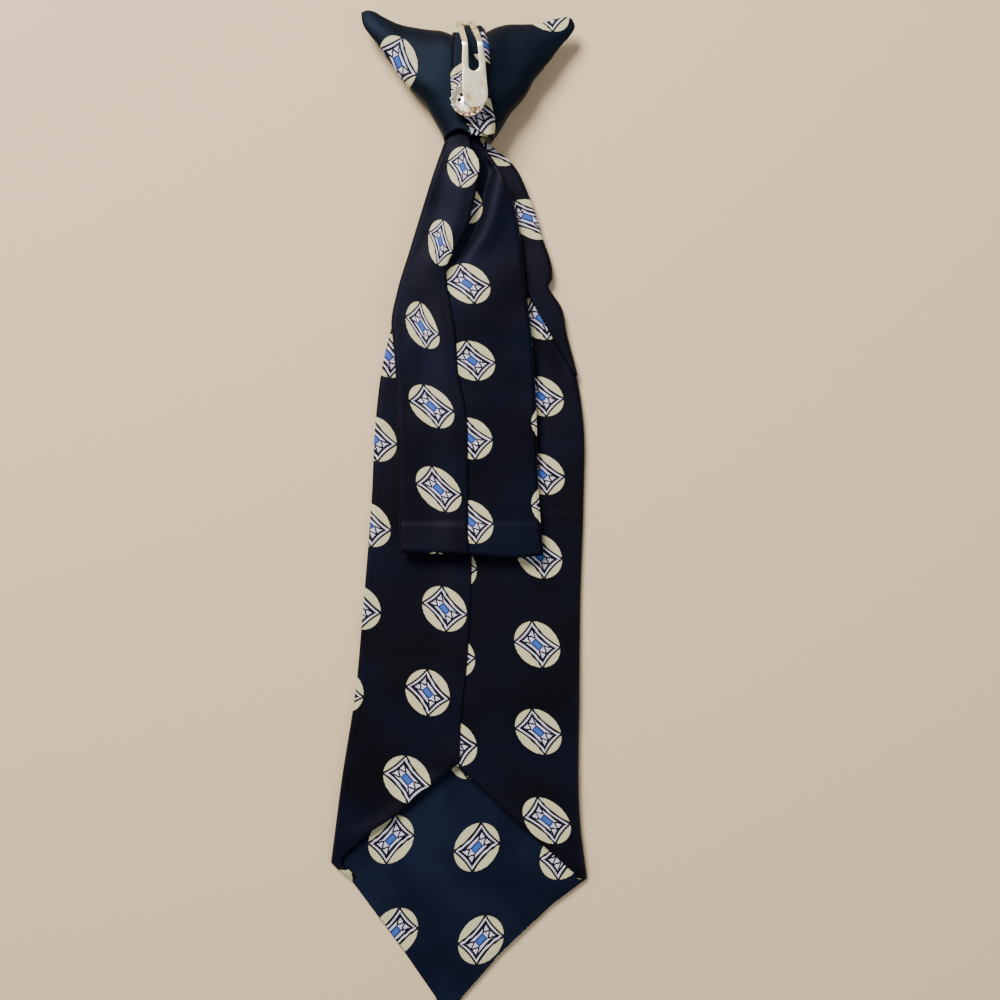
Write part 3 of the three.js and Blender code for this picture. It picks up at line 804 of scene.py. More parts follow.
# %% [markdown]
# At the point the flaps are gone. There the front has a column of ovals of its own, and the hems
# are the front's cloth folded over, so they show its print mirrored in the folded edge.

# %% Wide blade made
POINT_COLUMN = [(-80.0, -25.8), (-98.1, -28.8), (-124.0, -31.5)]
POINT_PITCH = 24.9


def point_pattern(x, y):
    return (line_through(POINT_COLUMN, y) - x) / POINT_PITCH, line_through(LEFT_ROWS, y)


def hem_pattern(edge_table):
    """The front's print mirrored in the edge of the point, from its corner to near its tip."""
    corner, near_tip = edge_table[-1][::-1], edge_table[1][::-1]
    return point_pattern(*mirrored(blade_x, blade_yy, corner, near_tip))


def blended(first, second, share):
    return tuple(first[k] + (second[k] - first[k]) * share for k in range(2))


columns = np.arange(blade_x.shape[1])[None, :]
past_left = step(blade_x - blade_x[:, [LEFT_FOLD]], 0.0, 14.0)
past_right = step(blade_x[:, [RIGHT_FOLD]] - blade_x, 0.0, 14.0)
near_point = (1 - step(blade_yy, -98.0, -80.0)) * np.minimum(past_left, past_right)
below_left = 1 - step(blade_yy, LEFT_CORNER - 2.0, LEFT_CORNER - 1.0)
below_right = 1 - step(blade_yy, RIGHT_CORNER - 1.0, RIGHT_CORNER + 1.0)
below = np.where(blade_x < 0, below_left, below_right)
on_hem = blended(blade_early, hem_pattern(BLADE_LEFT_POINT), below_left)
on_front = blended(blade_early, point_pattern(blade_x, blade_yy), np.maximum(near_point, below))
blade_early = choose(columns < LEFT_FOLD, on_hem, on_front)
blade_late = blended(blade_late, hem_pattern(BLADE_RIGHT_POINT), below_right)
wide_blade = cloth_piece("wide_blade_cloth", blade_x, blade_yy, blade_z, blade_early, blade_late, RIGHT_FOLD)
thicken(wide_blade, CLOTH_THICK)
wide_blade.data.materials.append(navy_cloth)
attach(wide_blade, "root")
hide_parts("wide_blade")

# %% [markdown]
# ## The pleat
#
# Near the knot the right flap is gathered: a pleat of it lies over the rest, with a free edge
# that runs slantwise from under the tail out to the right fold. It is a second strip of the same
# section: a turned edge, a face, and a fold that hugs the blade's own fold.

# %% Pleat
PLEAT_EDGE = [(38.9, 33.4), (62.9, 19.9), (86.0, 7.0), (106.0, 5.0)]
PLEAT_LIFT = 0.75
PLEAT_COLUMN = [(103.6, 11.7), (84.6, 19.3), (60.0, 38.0), (36.0, 42.0)]
PLEAT_ROWS = [(103.6, 5), (84.6, 4), (60.0, 3), (36.0, 2)]
PLEAT_TILT = 0.5
PLEAT_COLUMNS = 30
pleat_y = np.linspace(40.2, 105.0, 80)
pleat_rows = []
for y in pleat_y:
    left = float(corners_through(PLEAT_EDGE, y))
    right = float(line_through(BLADE_RIGHT, y)) + 0.3
    high = neck_rise(y) + FRONT_Z + FLAP_THICK + PLEAT_LIFT
    width = right - left
    bend = min(1.0, 0.4 * width)
    edge_x, edge_z = turned_edge(left, high, 1, min(2.0, 0.5 * width))
    face_x = np.linspace(left + min(ROLL, 0.2 * width), right - bend, PLEAT_COLUMNS)
    quarter_turn = np.linspace(0, 0.5 * math.pi, 7)[1:]
    fold_x = right - bend + bend * np.sin(quarter_turn)
    fold_z = high - 1.5 * (1 - np.cos(quarter_turn))
    row_x = np.concatenate([edge_x, face_x, fold_x])
    row_z = np.concatenate([edge_z, np.full(PLEAT_COLUMNS, high), fold_z])
    pleat_rows.append((row_x, row_z))
pleat_x, pleat_z = stacked(pleat_rows)
pleat_yy = spread(pleat_y, pleat_x)
pleat_z = pleat_z + blade_waves(pleat_x, pleat_yy) + 0.2 * ripple(pleat_x, pleat_yy, size=12.0, seed=8.8)
aside_by = (corners_through(PLEAT_COLUMN, pleat_yy) - pleat_x) / PITCH
pleat_pattern = (RIGHT_STEPS - aside_by, corners_through(PLEAT_ROWS, pleat_yy) + PLEAT_TILT * aside_by)
pleat = cloth_piece("blade_pleat_cloth", pleat_x, pleat_yy, pleat_z, pleat_pattern)
thicken(pleat, 0.45)
pleat.data.materials.append(navy_cloth)
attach(pleat, "root")

# %% [markdown]
# ## The tipping
#
# Inside the point lies a second piece of the same cloth that reaches almost to the folded edge; its
# ground is painted a little lighter and bluer, for the sheen it catches. It is not pulled flat: small
# puckers run in from the stitches.

# %% Tipping
TIPPING_TOP_Y = -60.0
tipping_y = np.linspace(TIP_Y + 1.3, TIPPING_TOP_Y, 112)
INSET = 0.2  # how far inside the blade's outline it ends
left_inset = INSET + 1.1 * bell(tipping_y + 100.3, 3.0)
right_inset = INSET + 0.35 * step(tipping_y, RIGHT_CORNER - 2.0, LEFT_CORNER + 4.0)
tipping_left = outline_left(tipping_y)
tipping_right = outline_right(tipping_y)
start = (tipping_left + left_inset)[:, None]
end = (tipping_right - right_inset)[:, None]
share = np.linspace(0, 1, 80)[None, :]
tipping_x = start * (1 - share) + end * share
tipping_yy = spread(tipping_y, tipping_x)
from_edge = np.minimum(
    np.minimum(tipping_x - tipping_left[:, None], tipping_right[:, None] - tipping_x),
    tipping_yy - TIP_Y,
)
under_flaps = step(tipping_yy, RIGHT_CORNER - 3.0, RIGHT_CORNER + 12.0)
tipping_z = 1.42 + 0.2 * step(from_edge, 0.0, 6.0) - 0.35 * under_flaps
pucker = ripple(tipping_x, tipping_yy, size=6.0, seed=1.7) * (1 - step(from_edge, 2.0, 14.0))
tipping_z = tipping_z + 0.2 * pucker * step(from_edge, 0.0, 2.0)
tipping_z = tipping_z + 0.3 * ripple(tipping_x, tipping_yy, size=22.0, seed=9.3) * step(from_edge, 2.0, 12.0)


def quarter_turned_pattern(x, y, origin, right_step, down_step):
    """Steps of a print with slanted rows, turned by a quarter so that its ovals lie the other way."""
    dx, dy = x - origin[0], y - origin[1]
    area = right_step[0] * down_step[1] - right_step[1] * down_step[0]
    across = (dx * down_step[1] - dy * down_step[0]) / area
    down = (right_step[0] * dy - right_step[1] * dx) / area
    return -down, -across


tipping_pattern = quarter_turned_pattern(
    tipping_x, tipping_yy, origin=(-19.2, -91.4), right_step=(24.3, -2.2), down_step=(1.2, -26.2)
)
tipping = cloth_piece("blade_tipping_cloth", tipping_x, tipping_yy, tipping_z, tipping_pattern)
thicken(tipping, 0.35)
# The point's cloth is painted lighter and bluer, for the sheen it catches.
tipping.data.materials.append(point_cloth)
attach(tipping, "root")
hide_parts("blade_tipping")

# %% [markdown]
# ## The narrow tail
#
# The tail lies on the wide blade and is folded in the same way, so the same section makes it. Its
# lower end is cut square and turned inside, and its left flap rolls over the seam near the knot.

# %% Tail outline
TAIL_END_Y = -10.2
TAIL_LEFT = [
    (-10.2, -15.9), (5.1, -16.7), (20.4, -17.0), (39.4, -17.3), (49.4, -18.1), (53.9, -18.6),
    (63.4, -17.0), (74.5, -13.6), (86.5, -9.8), (99.0, -5.6), (104.6, -3.6), (107.0, -2.8),
    (110.5, -2.2),
]
TAIL_RIGHT = [
    (-10.2, 23.7), (-1.1, 22.9), (7.6, 22.3), (29.1, 21.7), (45.2, 20.9), (60.6, 19.2), (71.7, 18.1),
    (78.1, 17.3), (86.5, 15.6), (93.7, 13.4), (98.2, 10.6), (103.0, 7.2), (106.6, 5.4), (110.5, 5.0),
]
TAIL_SEAM = [
    (-10.2, 2.5), (15.6, 2.5), (29.5, 2.0), (40.6, -0.2), (50.9, -0.9), (60.4, -2.3), (65.2, -3.3),
    (71.0, -3.0), (75.4, -0.5), (80.4, 2.2), (84.8, 3.6), (90.7, 4.9), (95.1, 5.9), (97.3, 6.5),
    (99.6, 5.2), (102.3, 3.8), (106.0, 3.2), (110.5, 3.0),
]
TAIL_LOW = 4.15
TAIL_THICK = 1.95
TAIL_LAP = 4.5

tail_y = np.concatenate([np.linspace(TAIL_END_Y, 2.0, 16, endpoint=False), np.linspace(2.0, 110.5, 116)])
tail_rows = []
for y in tail_y:
    base = neck_rise(y) + TAIL_LOW
    left = float(line_through(TAIL_LEFT, y))
    right = float(line_through(TAIL_RIGHT, y))
    seam = float(line_through(TAIL_SEAM, y))
    under = max(seam - TAIL_LAP, left + 2.4)
    lap_rise = LAP_RISE + 0.9 * step(y, 60.0, 84.0) * (1 - step(y, 98.0, 104.0))
    tail_rows.append(folded_section(left, right, seam, under, base, base + TAIL_THICK, lap_rise, lap=4.2))
tail_x, tail_z = stacked(tail_rows)
tail_yy = spread(tail_y, tail_x)
print("tail", len(tail_y), "rows")

# %% [markdown]
# The end is turned inside by rows that run back up within the fold. The bottom edge itself is
# not quite straight, and a pressed line crosses the tail above the turning.

# %% Tail folded
TAIL_BOTTOM = [(-16.0, 0.5), (2.5, 0.0), (15.6, -0.9), (23.7, -0.2)]
CREASE_SLOPE = -0.31  # the pressed crease that runs across the right flap, down to the right
down = 1 - step(tail_yy, TAIL_END_Y, 8.0)
tail_yy = tail_yy + down * line_through(TAIL_BOTTOM, tail_x)
lift = np.clip(tail_z - neck_rise(tail_yy) - TAIL_LOW, 0.0, 1.0)
seam_x = line_through(TAIL_SEAM, tail_yy)
right_of_seam = tail_x - seam_x
near_knot = step(tail_yy, 58.0, 72.0) * (1 - step(tail_yy, 98.0, 106.0))
valley = -1.5 * bell(right_of_seam - 2.2, 2.0)
crest = 0.8 * bell(right_of_seam - 7.0, 2.6) * step(tail_yy, 70.0, 84.0)
late_columns = np.arange(tail_x.shape[1])[None, :] > RIGHT_FOLD
tilted = -0.045 * np.clip(right_of_seam, 0.0, 24.0) * (1 - near_knot)
right_flap = late_columns * (near_knot * (valley + crest) + tilted)
north_of_crease = tail_yy - (51.6 + CREASE_SLOPE * tail_x)
crease = late_columns * 0.45 * step(north_of_crease, -0.5, 7.0) * (1 - step(tail_yy, 60.0, 74.0))
left_side = np.clip(-right_of_seam / 14.0, 0.0, 1.0)
sloping = ~late_columns * -0.9 * left_side**2 * step(tail_yy, 40.0, 60.0) * (1 - step(tail_yy, 84.0, 96.0))
waves = 0.5 * ripple(tail_x, tail_yy, size=20.0, seed=5.9)
waves = waves + 0.16 * ripple(tail_x, tail_yy, size=8.0, seed=2.2)
hem_lift = 0.35 * (1 - step(tail_yy, -2.4, -1.2)) + 0.06 * np.clip(-2.0 - tail_yy, 0.0, 9.0)
tail_z = tail_z + lift * (right_flap + crease + sloping)
tail_z = tail_z + lift * waves
tail_z = tail_z + lift * hem_lift

TURNED = [(4.0, 0.7), (2.0, 0.7), (0.5, 0.62), (0.05, 0.35), (0.1, 0.1)]  # back in, and inset
centre_x = (tail_x.min(axis=1, keepdims=True) + tail_x.max(axis=1, keepdims=True)) / 2
centre_z = TAIL_LOW + TAIL_THICK / 2
end_x, end_y, end_z = tail_x[[0]], tail_yy[[0]], tail_z[[0]]
from_centre = end_x - centre_x[0]
inside = []
for back, inset_by in TURNED:
    pull_x = np.sign(from_centre) * np.minimum(inset_by, 0.3 * np.abs(from_centre))
    pull_z = np.clip(end_z - centre_z, -inset_by, inset_by)
    inside.append((end_x - pull_x, end_y + back, end_z - pull_z))
pattern_y = np.concatenate([end_y * 2 - row[1] for row in inside] + [tail_yy])
tail_x, tail_yy, tail_z = put_before(inside, tail_x, tail_yy, tail_z)
print("tail", tail_x.shape, "points")

# %% Tail pattern
TAIL_LEFT_COLUMN = [(97.0, 1.5), (76.7, -4.8), (53.7, -10.2), (32.1, -7.5), (7.9, -5.4), (-10.2, -4.2)]
TAIL_LEFT_ROWS = [(97.0, 2), (76.7, 1), (53.4, 0), (31.0, -1), (7.9, -2), (-16.0, -3)]
TAIL_LEFT_SQUEEZE = [(97.0, 0.78), (76.7, 0.64), (53.7, 0.76), (38.0, 0.98), (-10.2, 1.0)]
TAIL_LEFT_TILT = [(97.0, 0.12), (76.7, 0.4), (53.7, 0.25), (38.0, 0.0), (-10.2, 0.0)]
TAIL_RIGHT_COLUMN = [(88.0, 0.5), (65.2, 2.6), (43.7, 4.0), (22.1, 3.3), (-1.3, 3.5)]
TAIL_RIGHT_ROWS = [(88.0, 2), (65.2, 1), (43.7, 0), (22.1, -1), (-1.3, -2)]
TAIL_TILT = 0.17
TAIL_LEFT_PITCH = 23.0
TAIL_RIGHT_PITCH = 23.3


def tail_left_pattern(x, y):
    squeeze = corners_through(TAIL_LEFT_SQUEEZE, y)
    from_column = x - line_through(TAIL_LEFT_COLUMN, y)
    tilt = corners_through(TAIL_LEFT_TILT, y) * from_column / PITCH
    return from_column / (TAIL_LEFT_PITCH * squeeze), line_through(TAIL_LEFT_ROWS, y) + tilt


def tail_right_pattern(x, y):
    aside_by = (line_through(TAIL_RIGHT_COLUMN, y) - x) / TAIL_RIGHT_PITCH
    return RIGHT_STEPS - aside_by, line_through(TAIL_RIGHT_ROWS, y) + TAIL_TILT * aside_by


joined = 1.0 - step(pattern_y, 50.0, 75.0)
tail_early, tail_late = path_pattern(
    tail_x, pattern_y, tail_z, tail_left_pattern, tail_right_pattern, joined
)
narrow_tail = cloth_piece("narrow_tail_cloth", tail_x, tail_yy, tail_z, tail_early, tail_late, RIGHT_FOLD)
thicken(narrow_tail, CLOTH_THICK)
narrow_tail.data.materials.append(tail_cloth)
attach(narrow_tail, "root")
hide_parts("narrow_tail")

# %% [markdown]
# ## The knot
#
# The knot is a flat cushion of wrapped cloth with two wings, narrow at its mouth. It is made as
# one ring of cloth round the filling. The ring is pressed shut along the top edge, and at the
# mouth it is turned inside.

# %% Knot outline
KNOT_LEFT = [
    (102.8, -3.6), (106.2, -4.2), (111.2, -6.8), (116.2, -9.9), (120.7, -14.3), (126.7, -18.6),
    (132.7, -22.9), (138.0, -26.7), (141.3, -27.2),
]
KNOT_RIGHT = [
    (102.8, 9.0), (105.1, 9.8), (110.0, 12.7), (113.2, 14.6), (116.6, 17.6), (119.0, 19.4),
    (122.4, 21.1), (127.4, 25.4), (131.9, 28.7), (135.2, 31.6), (137.3, 32.7), (139.5, 31.9),
]
KNOT_TOP = [
    (-27.2, 141.3), (-25.8, 141.9), (-23.8, 141.7), (-20.9, 140.1), (-16.9, 138.2), (-11.5, 137.0),
    (-7.6, 136.4), (-4.5, 136.0), (-1.9, 134.9), (0.5, 134.2), (3.3, 133.9), (6.1, 134.5), (8.1, 135.7),
    (10.6, 137.0), (12.8, 137.7), (18.7, 138.0), (23.5, 138.4), (26.0, 139.2), (28.5, 139.8),
    (30.2, 140.1), (31.9, 139.5),
]
KNOT_MIDDLE_Z = 5.35
KNOT_HALF_DEPTH = 4.9
ROUND_COLUMNS = 128
ROLL_FROM = 0.82  # the rows crowd together from here up, where the cloth rolls shut
rolled = 1 - (1 - ROLL_FROM) * np.cos(np.linspace(0, math.pi / 2, 14)) ** 1.5
knot_rise = np.concatenate([np.linspace(0, ROLL_FROM, 44, endpoint=False), rolled])
turn = np.linspace(0, 2 * math.pi, ROUND_COLUMNS + 1)
sine, cosine = np.sin(turn), np.cos(turn)
across = 0.5 + 0.5 * np.sign(sine) * np.abs(sine) ** 0.85
depth_shape = np.sign(cosine) * np.abs(cosine) ** 0.62


def knot_point(share, rise):
    """Plan place of the knot's cloth, from its mouth at rise 0 to its top edge at rise 1."""
    (left_end, left_top), (right_end, right_top) = KNOT_TOP[0], KNOT_TOP[-1]
    top_y = line_through(KNOT_TOP, left_end + (right_end - left_end) * share)
    left_x = line_through(KNOT_LEFT, MOUTH_Y + (left_top - MOUTH_Y) * rise)
    right_x = line_through(KNOT_RIGHT, MOUTH_Y + (right_top - MOUTH_Y) * rise)
    return left_x + (right_x - left_x) * share, MOUTH_Y + (top_y - MOUTH_Y) * rise


def knot_row(rise):
    x, y = knot_point(across, rise)
    roll = math.sqrt(max(1 - max((rise - 0.72) / 0.28, 0.0) ** 2, 0.0))
    fullness = KNOT_HALF_DEPTH * (0.9 + 0.1 * step(rise, 0.0, 0.3))
    wing = 1 - 0.35 * np.abs(2 * across - 1) ** 2 * step(rise, 0.3, 0.9)
    crown = 1 - 0.34 * ((rise - 0.5) / 0.5) ** 2 * step(np.abs(x - 3.0), 5.0, 12.0)
    z = KNOT_MIDDLE_Z + fullness * roll * wing * crown * depth_shape
    arch = 1.9 * bell(x - 0.2, 3.0) * (1 - rise) ** 6  # the back's mouth edge bows up over the tail
    return x, y + np.where(depth_shape > 0, arch, 0.0), z


knot_x, knot_y, knot_z = stacked([knot_row(rise) for rise in knot_rise])
back_side = np.clip(knot_z - KNOT_MIDDLE_Z, 0.0, 1.0)
knot_z = knot_z + back_side * 0.8 * ripple(knot_x, knot_y, size=13.0, seed=4.4)
print("knot", knot_x.shape)

# %% [markdown]
# The wings show the print at angles of their own, because the cloth is wrapped there. The left
# wing's cloth runs round the knot's left side to its front, so the front mirrors it.

# %% Knot mouth and pattern
MOUTH_X = 2.8
MOUTH_TURNED = [(5.0, 0.8), (2.5, 0.8), (0.6, 0.7), (0.0, 0.4), (-0.05, 0.1)]  # back in, and inset
LEFT_WING_OVAL = (-16.7, 126.6)
LEFT_WING_ANGLE = -24.0
RIGHT_WING_OVAL = (24.4, 141.6)
RIGHT_WING_ANGLE = 4.0
STRETCHED_BELOW = 132.0  # under this height the right wing's print is drawn out

mouth_x, mouth_y, mouth_z = knot_x[[0]], knot_y[[0]], knot_z[[0]]
away_x = mouth_x - MOUTH_X
away_z = mouth_z - KNOT_MIDDLE_Z
away = np.sqrt(away_x**2 + away_z**2)
inside = []
for back, pull in MOUTH_TURNED:
    inside.append((mouth_x - pull * away_x / away, mouth_y + back, mouth_z - pull * away_z / away))
knot_x, knot_y, knot_z = put_before(inside, knot_x, knot_y, knot_z)


def turned_pattern(x, y, centre, degrees):
    """Steps of a print with an oval on centre, turned by an angle."""
    angle = math.radians(degrees)
    dx, dy = x - centre[0], y - centre[1]
    i = (dx * math.cos(angle) + dy * math.sin(angle)) / PITCH
    j = (dy * math.cos(angle) - dx * math.sin(angle)) / PITCH
    return i, j


left_wing = turned_pattern(knot_x, knot_y, LEFT_WING_OVAL, LEFT_WING_ANGLE)
above = knot_y - STRETCHED_BELOW
stretched_y = np.where(above > 0, knot_y, STRETCHED_BELOW + 0.75 * above)
right_wing = turned_pattern(knot_x, stretched_y, RIGHT_WING_OVAL, RIGHT_WING_ANGLE)
front_x, front_y = mirrored(knot_x, knot_y, (-4.1, 106.2), (-26.8, 138.9))
knot_front = turned_pattern(front_x, front_y, LEFT_WING_OVAL, LEFT_WING_ANGLE)
quarter = ROUND_COLUMNS // 4
columns = np.arange(ROUND_COLUMNS + 1)[None, :]
knot_late = choose(columns >= 3 * quarter, left_wing, knot_front)
knot = cloth_piece("knot_wings_cloth", knot_x, knot_y, knot_z, right_wing, knot_late, quarter)
work = bmesh.new()
work.from_mesh(knot.data)
bmesh.ops.remove_doubles(work, verts=work.verts, dist=0.00002)
bmesh.ops.recalc_face_normals(work, faces=work.faces)
work.to_mesh(knot.data)
work.free()
thicken(knot, CLOTH_THICK, offset=-1.0)  # all of it inwards
knot.data.materials.append(knot_cloth)
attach(knot, "root")
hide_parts("knot_wrap")
print("knot cloth", len(knot.data.vertices), "points")

# %% [markdown]
# ## The knot's band
#
# A strip of cloth runs down the middle of the knot's back and holds the clip's plate under it.
# Its right edge is a soft roll near the top, and its lower end is cut on the slant. The folds of
# the strip show four different bits of print with plain cloth between them.

# %% Band
BAND_LEFT = [
    (135.1, -0.9), (133.0, -1.4), (129.9, -1.7), (125.0, -1.9), (117.3, -1.9), (113.5, -0.9),
    (108.2, 1.6), (104.7, 2.4),
]
BAND_RIGHT = [
    (135.1, 7.2), (133.0, 7.9), (129.9, 8.6), (125.0, 9.0), (117.3, 8.9), (113.5, 9.6), (108.2, 10.2),
    (104.7, 9.9),
]
BAND_Z = 10.75
BAND_BOTTOM = 104.9
BAND_TOP = 134.9
ROLL_COLUMN = 28  # from here to the right the roll shows its own print
band_y = np.linspace(BAND_BOTTOM, BAND_TOP, 60)
share = np.linspace(0, 1, 34)


def band_row(y):
    left = float(line_through(BAND_LEFT, y))
    right = float(line_through(BAND_RIGHT, y))
    x = left + (right - left) * share
    ends = np.minimum(share, 1 - share) * (right - left)
    z = BAND_Z - 0.9 * (1 - step(ends, 0.0, 1.3)) - 0.5 * (1 - step(ends, 0.0, 0.4))
    roll = 0.9 * bell(x - right + 1.2, 0.8) * step(y, 122.5, 126.0)
    slant = (1 - step(y, BAND_BOTTOM, 112.0)) * np.clip((8.4 - x) / 6.3, 0.0, 1.0) * 3.6
    top_dip = 0.35 * step(y, 133.6, BAND_TOP)
    return x, y + slant, z + roll - top_dip


def scaled_pattern(centre, scale_x, scale_y, oval=(0.0, 0.0), degrees=0.0):
    """Print on the band, drawn out or squeezed round a centre."""
    x = (band_x - centre[0]) * scale_x
    y = (band_yy - centre[1]) * scale_y
    return turned_pattern(x, y, oval, degrees)


band_x, band_yy, band_z = stacked([band_row(y) for y in band_y])
band_z = band_z + 0.25 * ripple(band_x, band_yy, size=7.0, seed=6.6)
left_strip = scaled_pattern((3.2, 121.5), 1.15, 1.5, degrees=90.0)
lower = scaled_pattern((4.4, 111.9), 1 / 1.08, 1 / 1.08)
roll_print = scaled_pattern((7.6, 129.6), 0.5, 1.35)
bit = turned_pattern(band_x, band_yy, (9.6, 129.2), 0.0)
plain = (np.full(band_x.shape, -0.5), np.where(band_yy > 129.0, 0.5, -0.5))  # half a step from any oval
is_low = band_yy < 115.5
has_roll_print = (band_yy > 124.3) & (band_yy < 133.3)
has_bit = (band_x > 3.0) & (band_yy < 127.6) & (band_yy > 119.0)
upper = choose(band_x < 2.0, left_strip, choose(has_bit, bit, plain))
band_pattern = choose(is_low, lower, upper)
roll_pattern = choose(is_low, lower, choose(has_roll_print, roll_print, plain))
band = cloth_piece("knot_band_cloth", band_x, band_yy, band_z, band_pattern, roll_pattern, ROLL_COLUMN)
thicken(band, CLOTH_THICK)
band.data.materials.append(knot_cloth)
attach(band, "root")
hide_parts("knot_band")
print("band", round(cloth_area(band) * 1e4, 2), "square cm")

# %% [markdown]
# ## Steel
#
# The clip is nickel-plated spring steel that has been handled for years. Blotches of tarnish
# darken and dull its warm grey, and fine scratches run along it. The disc has the same finish but
# is brighter, and its lower side is painted darker and tan: a painted reflection of the cloth and
# painted shade under the tongue, blotched like the tarnish. Both use one wear group.

# %% Steel wear group
wear_group, source, result = new_group(
    "steel wear",
    [("Place", "NodeSocketVector")],
    [("Blotch", "NodeSocketFloat"), ("Scratch", "NodeSocketFloat")],
)
clouded = speckle(wear_group, source["Place"], scale=330.0, detail=10.0)
blotch = ramp(wear_group, clouded, 0.43, 0.72)
wear_group.links.new(blotch, result["Blotch"])
stretched = wear_group.nodes.new("ShaderNodeMapping")
stretched.inputs["Scale"].default_value = (3.0, 0.3, 1.0)
wear_group.links.new(source["Place"], stretched.inputs["Vector"])
scratch = ramp(wear_group, speckle(wear_group, stretched.outputs[0], scale=2500.0), 0.45, 0.7)
wear_group.links.new(scratch, result["Scratch"])


def steel_material(name, clean, tarnish_and_painted_light, roughness, even_painted_light_share, tarnish_and_painted_light_from):
    """The tarnish colour starts at a line that lies the given millimetres down the tie; on the disc's
    lower side it is painted reflection and shade. The even share of it covers the steel between
    the blotches too."""
    material, tree, shader = new_material(name)
    place = tree.nodes.new("ShaderNodeTexCoord").outputs["Object"]
    wear = use_group(tree, wear_group, place)
    apart = tree.nodes.new("ShaderNodeSeparateXYZ")
    tree.links.new(place, apart.inputs[0])
    side = calc(tree, "SUBTRACT", calc(tree, "MULTIPLY", apart.outputs[0], 0.35), apart.outputs[1])
    past_line = ramp(tree, side, tarnish_and_painted_light_from * MM, (tarnish_and_painted_light_from + 2.5) * MM)
    patchy = calc(tree, "MULTIPLY_ADD", wear["Blotch"], 1.0 - even_painted_light_share, even_painted_light_share)
    tarnish_and_painted_light_share = calc(tree, "MULTIPLY", patchy, past_line)
    tree.links.new(mix(tree, tarnish_and_painted_light_share, clean, tarnish_and_painted_light), shader.inputs["Base Color"])
    rough = calc(tree, "MULTIPLY_ADD", wear["Blotch"], 0.14, roughness)
    rough = calc(tree, "MULTIPLY_ADD", wear["Scratch"], 0.05, rough)
    tree.links.new(rough, shader.inputs["Roughness"])
    add_bump(tree, shader, wear["Scratch"], distance=0.00001, strength=0.3)
    shader.inputs["Metallic"].default_value = 1.0
    return material


spring_steel = steel_material(
    "spring steel",
    clean=(1.0, 0.91, 0.64, 1.0),
    tarnish_and_painted_light=(0.34, 0.27, 0.18, 1.0),
    roughness=0.34,
    even_painted_light_share=0.0,
    tarnish_and_painted_light_from=-150.0,  # above the clip, so all of it is stained
)
# The disc's lower side gets painted reflection and shade: darker tan below a line just under its middle.
disc_steel = steel_material(
    "disc steel",
    clean=(1.0, 1.0, 1.0, 1.0),
    tarnish_and_painted_light=(0.6, 0.42, 0.22, 1.0),
    roughness=0.24,
    even_painted_light_share=0.7,
    tarnish_and_painted_light_from=-112.3,  # just under the disc's middle
)
print("steels", spring_steel.name, disc_steel.name)

# %% [markdown]
# ## The clip
#
# The clip is one strip: a plate under the band, a tight bend over the band's top edge, and a
# forked tongue that comes back down towards the disc. It is cut flat from a grid, the slot is
# taken out, and then it is bent. It crosses the hinge of the frame.

# %% Clip path
TONGUE_RADIUS = 3.4  # of its rounded end, which is half its width
HINGE = (2.6, 134.6, 11.9)
BEND_RADIUS = 1.2
PLATE_Z = 9.5
PLATE_PATH = [(3.0, 109.2, PLATE_Z), (3.0, 114.1, PLATE_Z), (2.6, 133.7, PLATE_Z)]
TONGUE_PATH = [
    (4.15, 128.4, 16.95), (4.3, 127.7, 17.35), (4.42, 126.9, 17.4), (4.62, 122.8, 16.7),
    (4.75, 119.5, 16.2), (5.02, 114.7, 15.5), (5.15, 111.2, 15.0),
]
BEND_STEPS = 9
BEND_END = 50.0  # degrees past level where the tongue leaves the bend and climbs


def clip_path():
    points = [Vector(p) for p in PLATE_PATH]
    for angle in np.radians(np.linspace(-90.0, BEND_END, BEND_STEPS)):
        y = HINGE[1] + 0.15 + BEND_RADIUS * math.cos(angle)
        z = HINGE[2] - BEND_RADIUS + BEND_RADIUS * math.sin(angle)
        points.append(Vector((2.35 - 0.16 * angle, y, z)))  # the strip leans a little to the left
    points += [Vector(p) for p in TONGUE_PATH]
    lengths = [0.0]
    for a, b in zip(points, points[1:]):
        lengths.append(lengths[-1] + (b - a).length)
    return np.array(lengths), np.array(points)


path_length, path_points = clip_path()
full_length = float(path_length[-1])
print("clip strip", round(full_length, 1), "mm long")

# %% Clip cut, slotted and bent
SLOT_END_RADIUS = 1.5
SLOT_END_GAP = 9.3  # from the slot's round end to the tongue's end
bend_from = float(path_length[len(PLATE_PATH)])
bend_to = float(path_length[len(PLATE_PATH) + BEND_STEPS - 1])
kink = float(path_length[len(PLATE_PATH) + BEND_STEPS + 1])
slot_low = full_length - SLOT_END_GAP - SLOT_END_RADIUS
slot_bottom = slot_low + SLOT_END_RADIUS
slot_high = bend_from + 1.5
HALF_WIDTHS = [
    (0.0, 2.95), (bend_from, 2.95), (bend_to, 2.6), (kink, 2.7), (kink + 4.6, 3.07),
    (kink + 12.8, TONGUE_RADIUS),
]
SLOT_HALVES = [(slot_high, 0.8), (kink, 1.3), (slot_low, SLOT_END_RADIUS)]
strip_at = np.concatenate(
    [
        np.linspace(0, slot_high, 34),
        np.linspace(slot_high, slot_low, 54),
        slot_bottom - SLOT_END_RADIUS * eased(8)[::-1],
        np.linspace(slot_bottom + 0.1, full_length - TONGUE_RADIUS, 12),
        full_length - TONGUE_RADIUS * eased(10)[::-1],
    ]
)
strip_at = np.unique(np.round(strip_at, 3))


def round_half(radius, past_centre):
    return math.sqrt(max(radius**2 - past_centre**2, 0.0))


def strip_half(at):
    half = float(corners_through(HALF_WIDTHS, at))
    past_centre = TONGUE_RADIUS - (full_length - at)
    return min(half, round_half(TONGUE_RADIUS, past_centre)) if past_centre > 0 else half


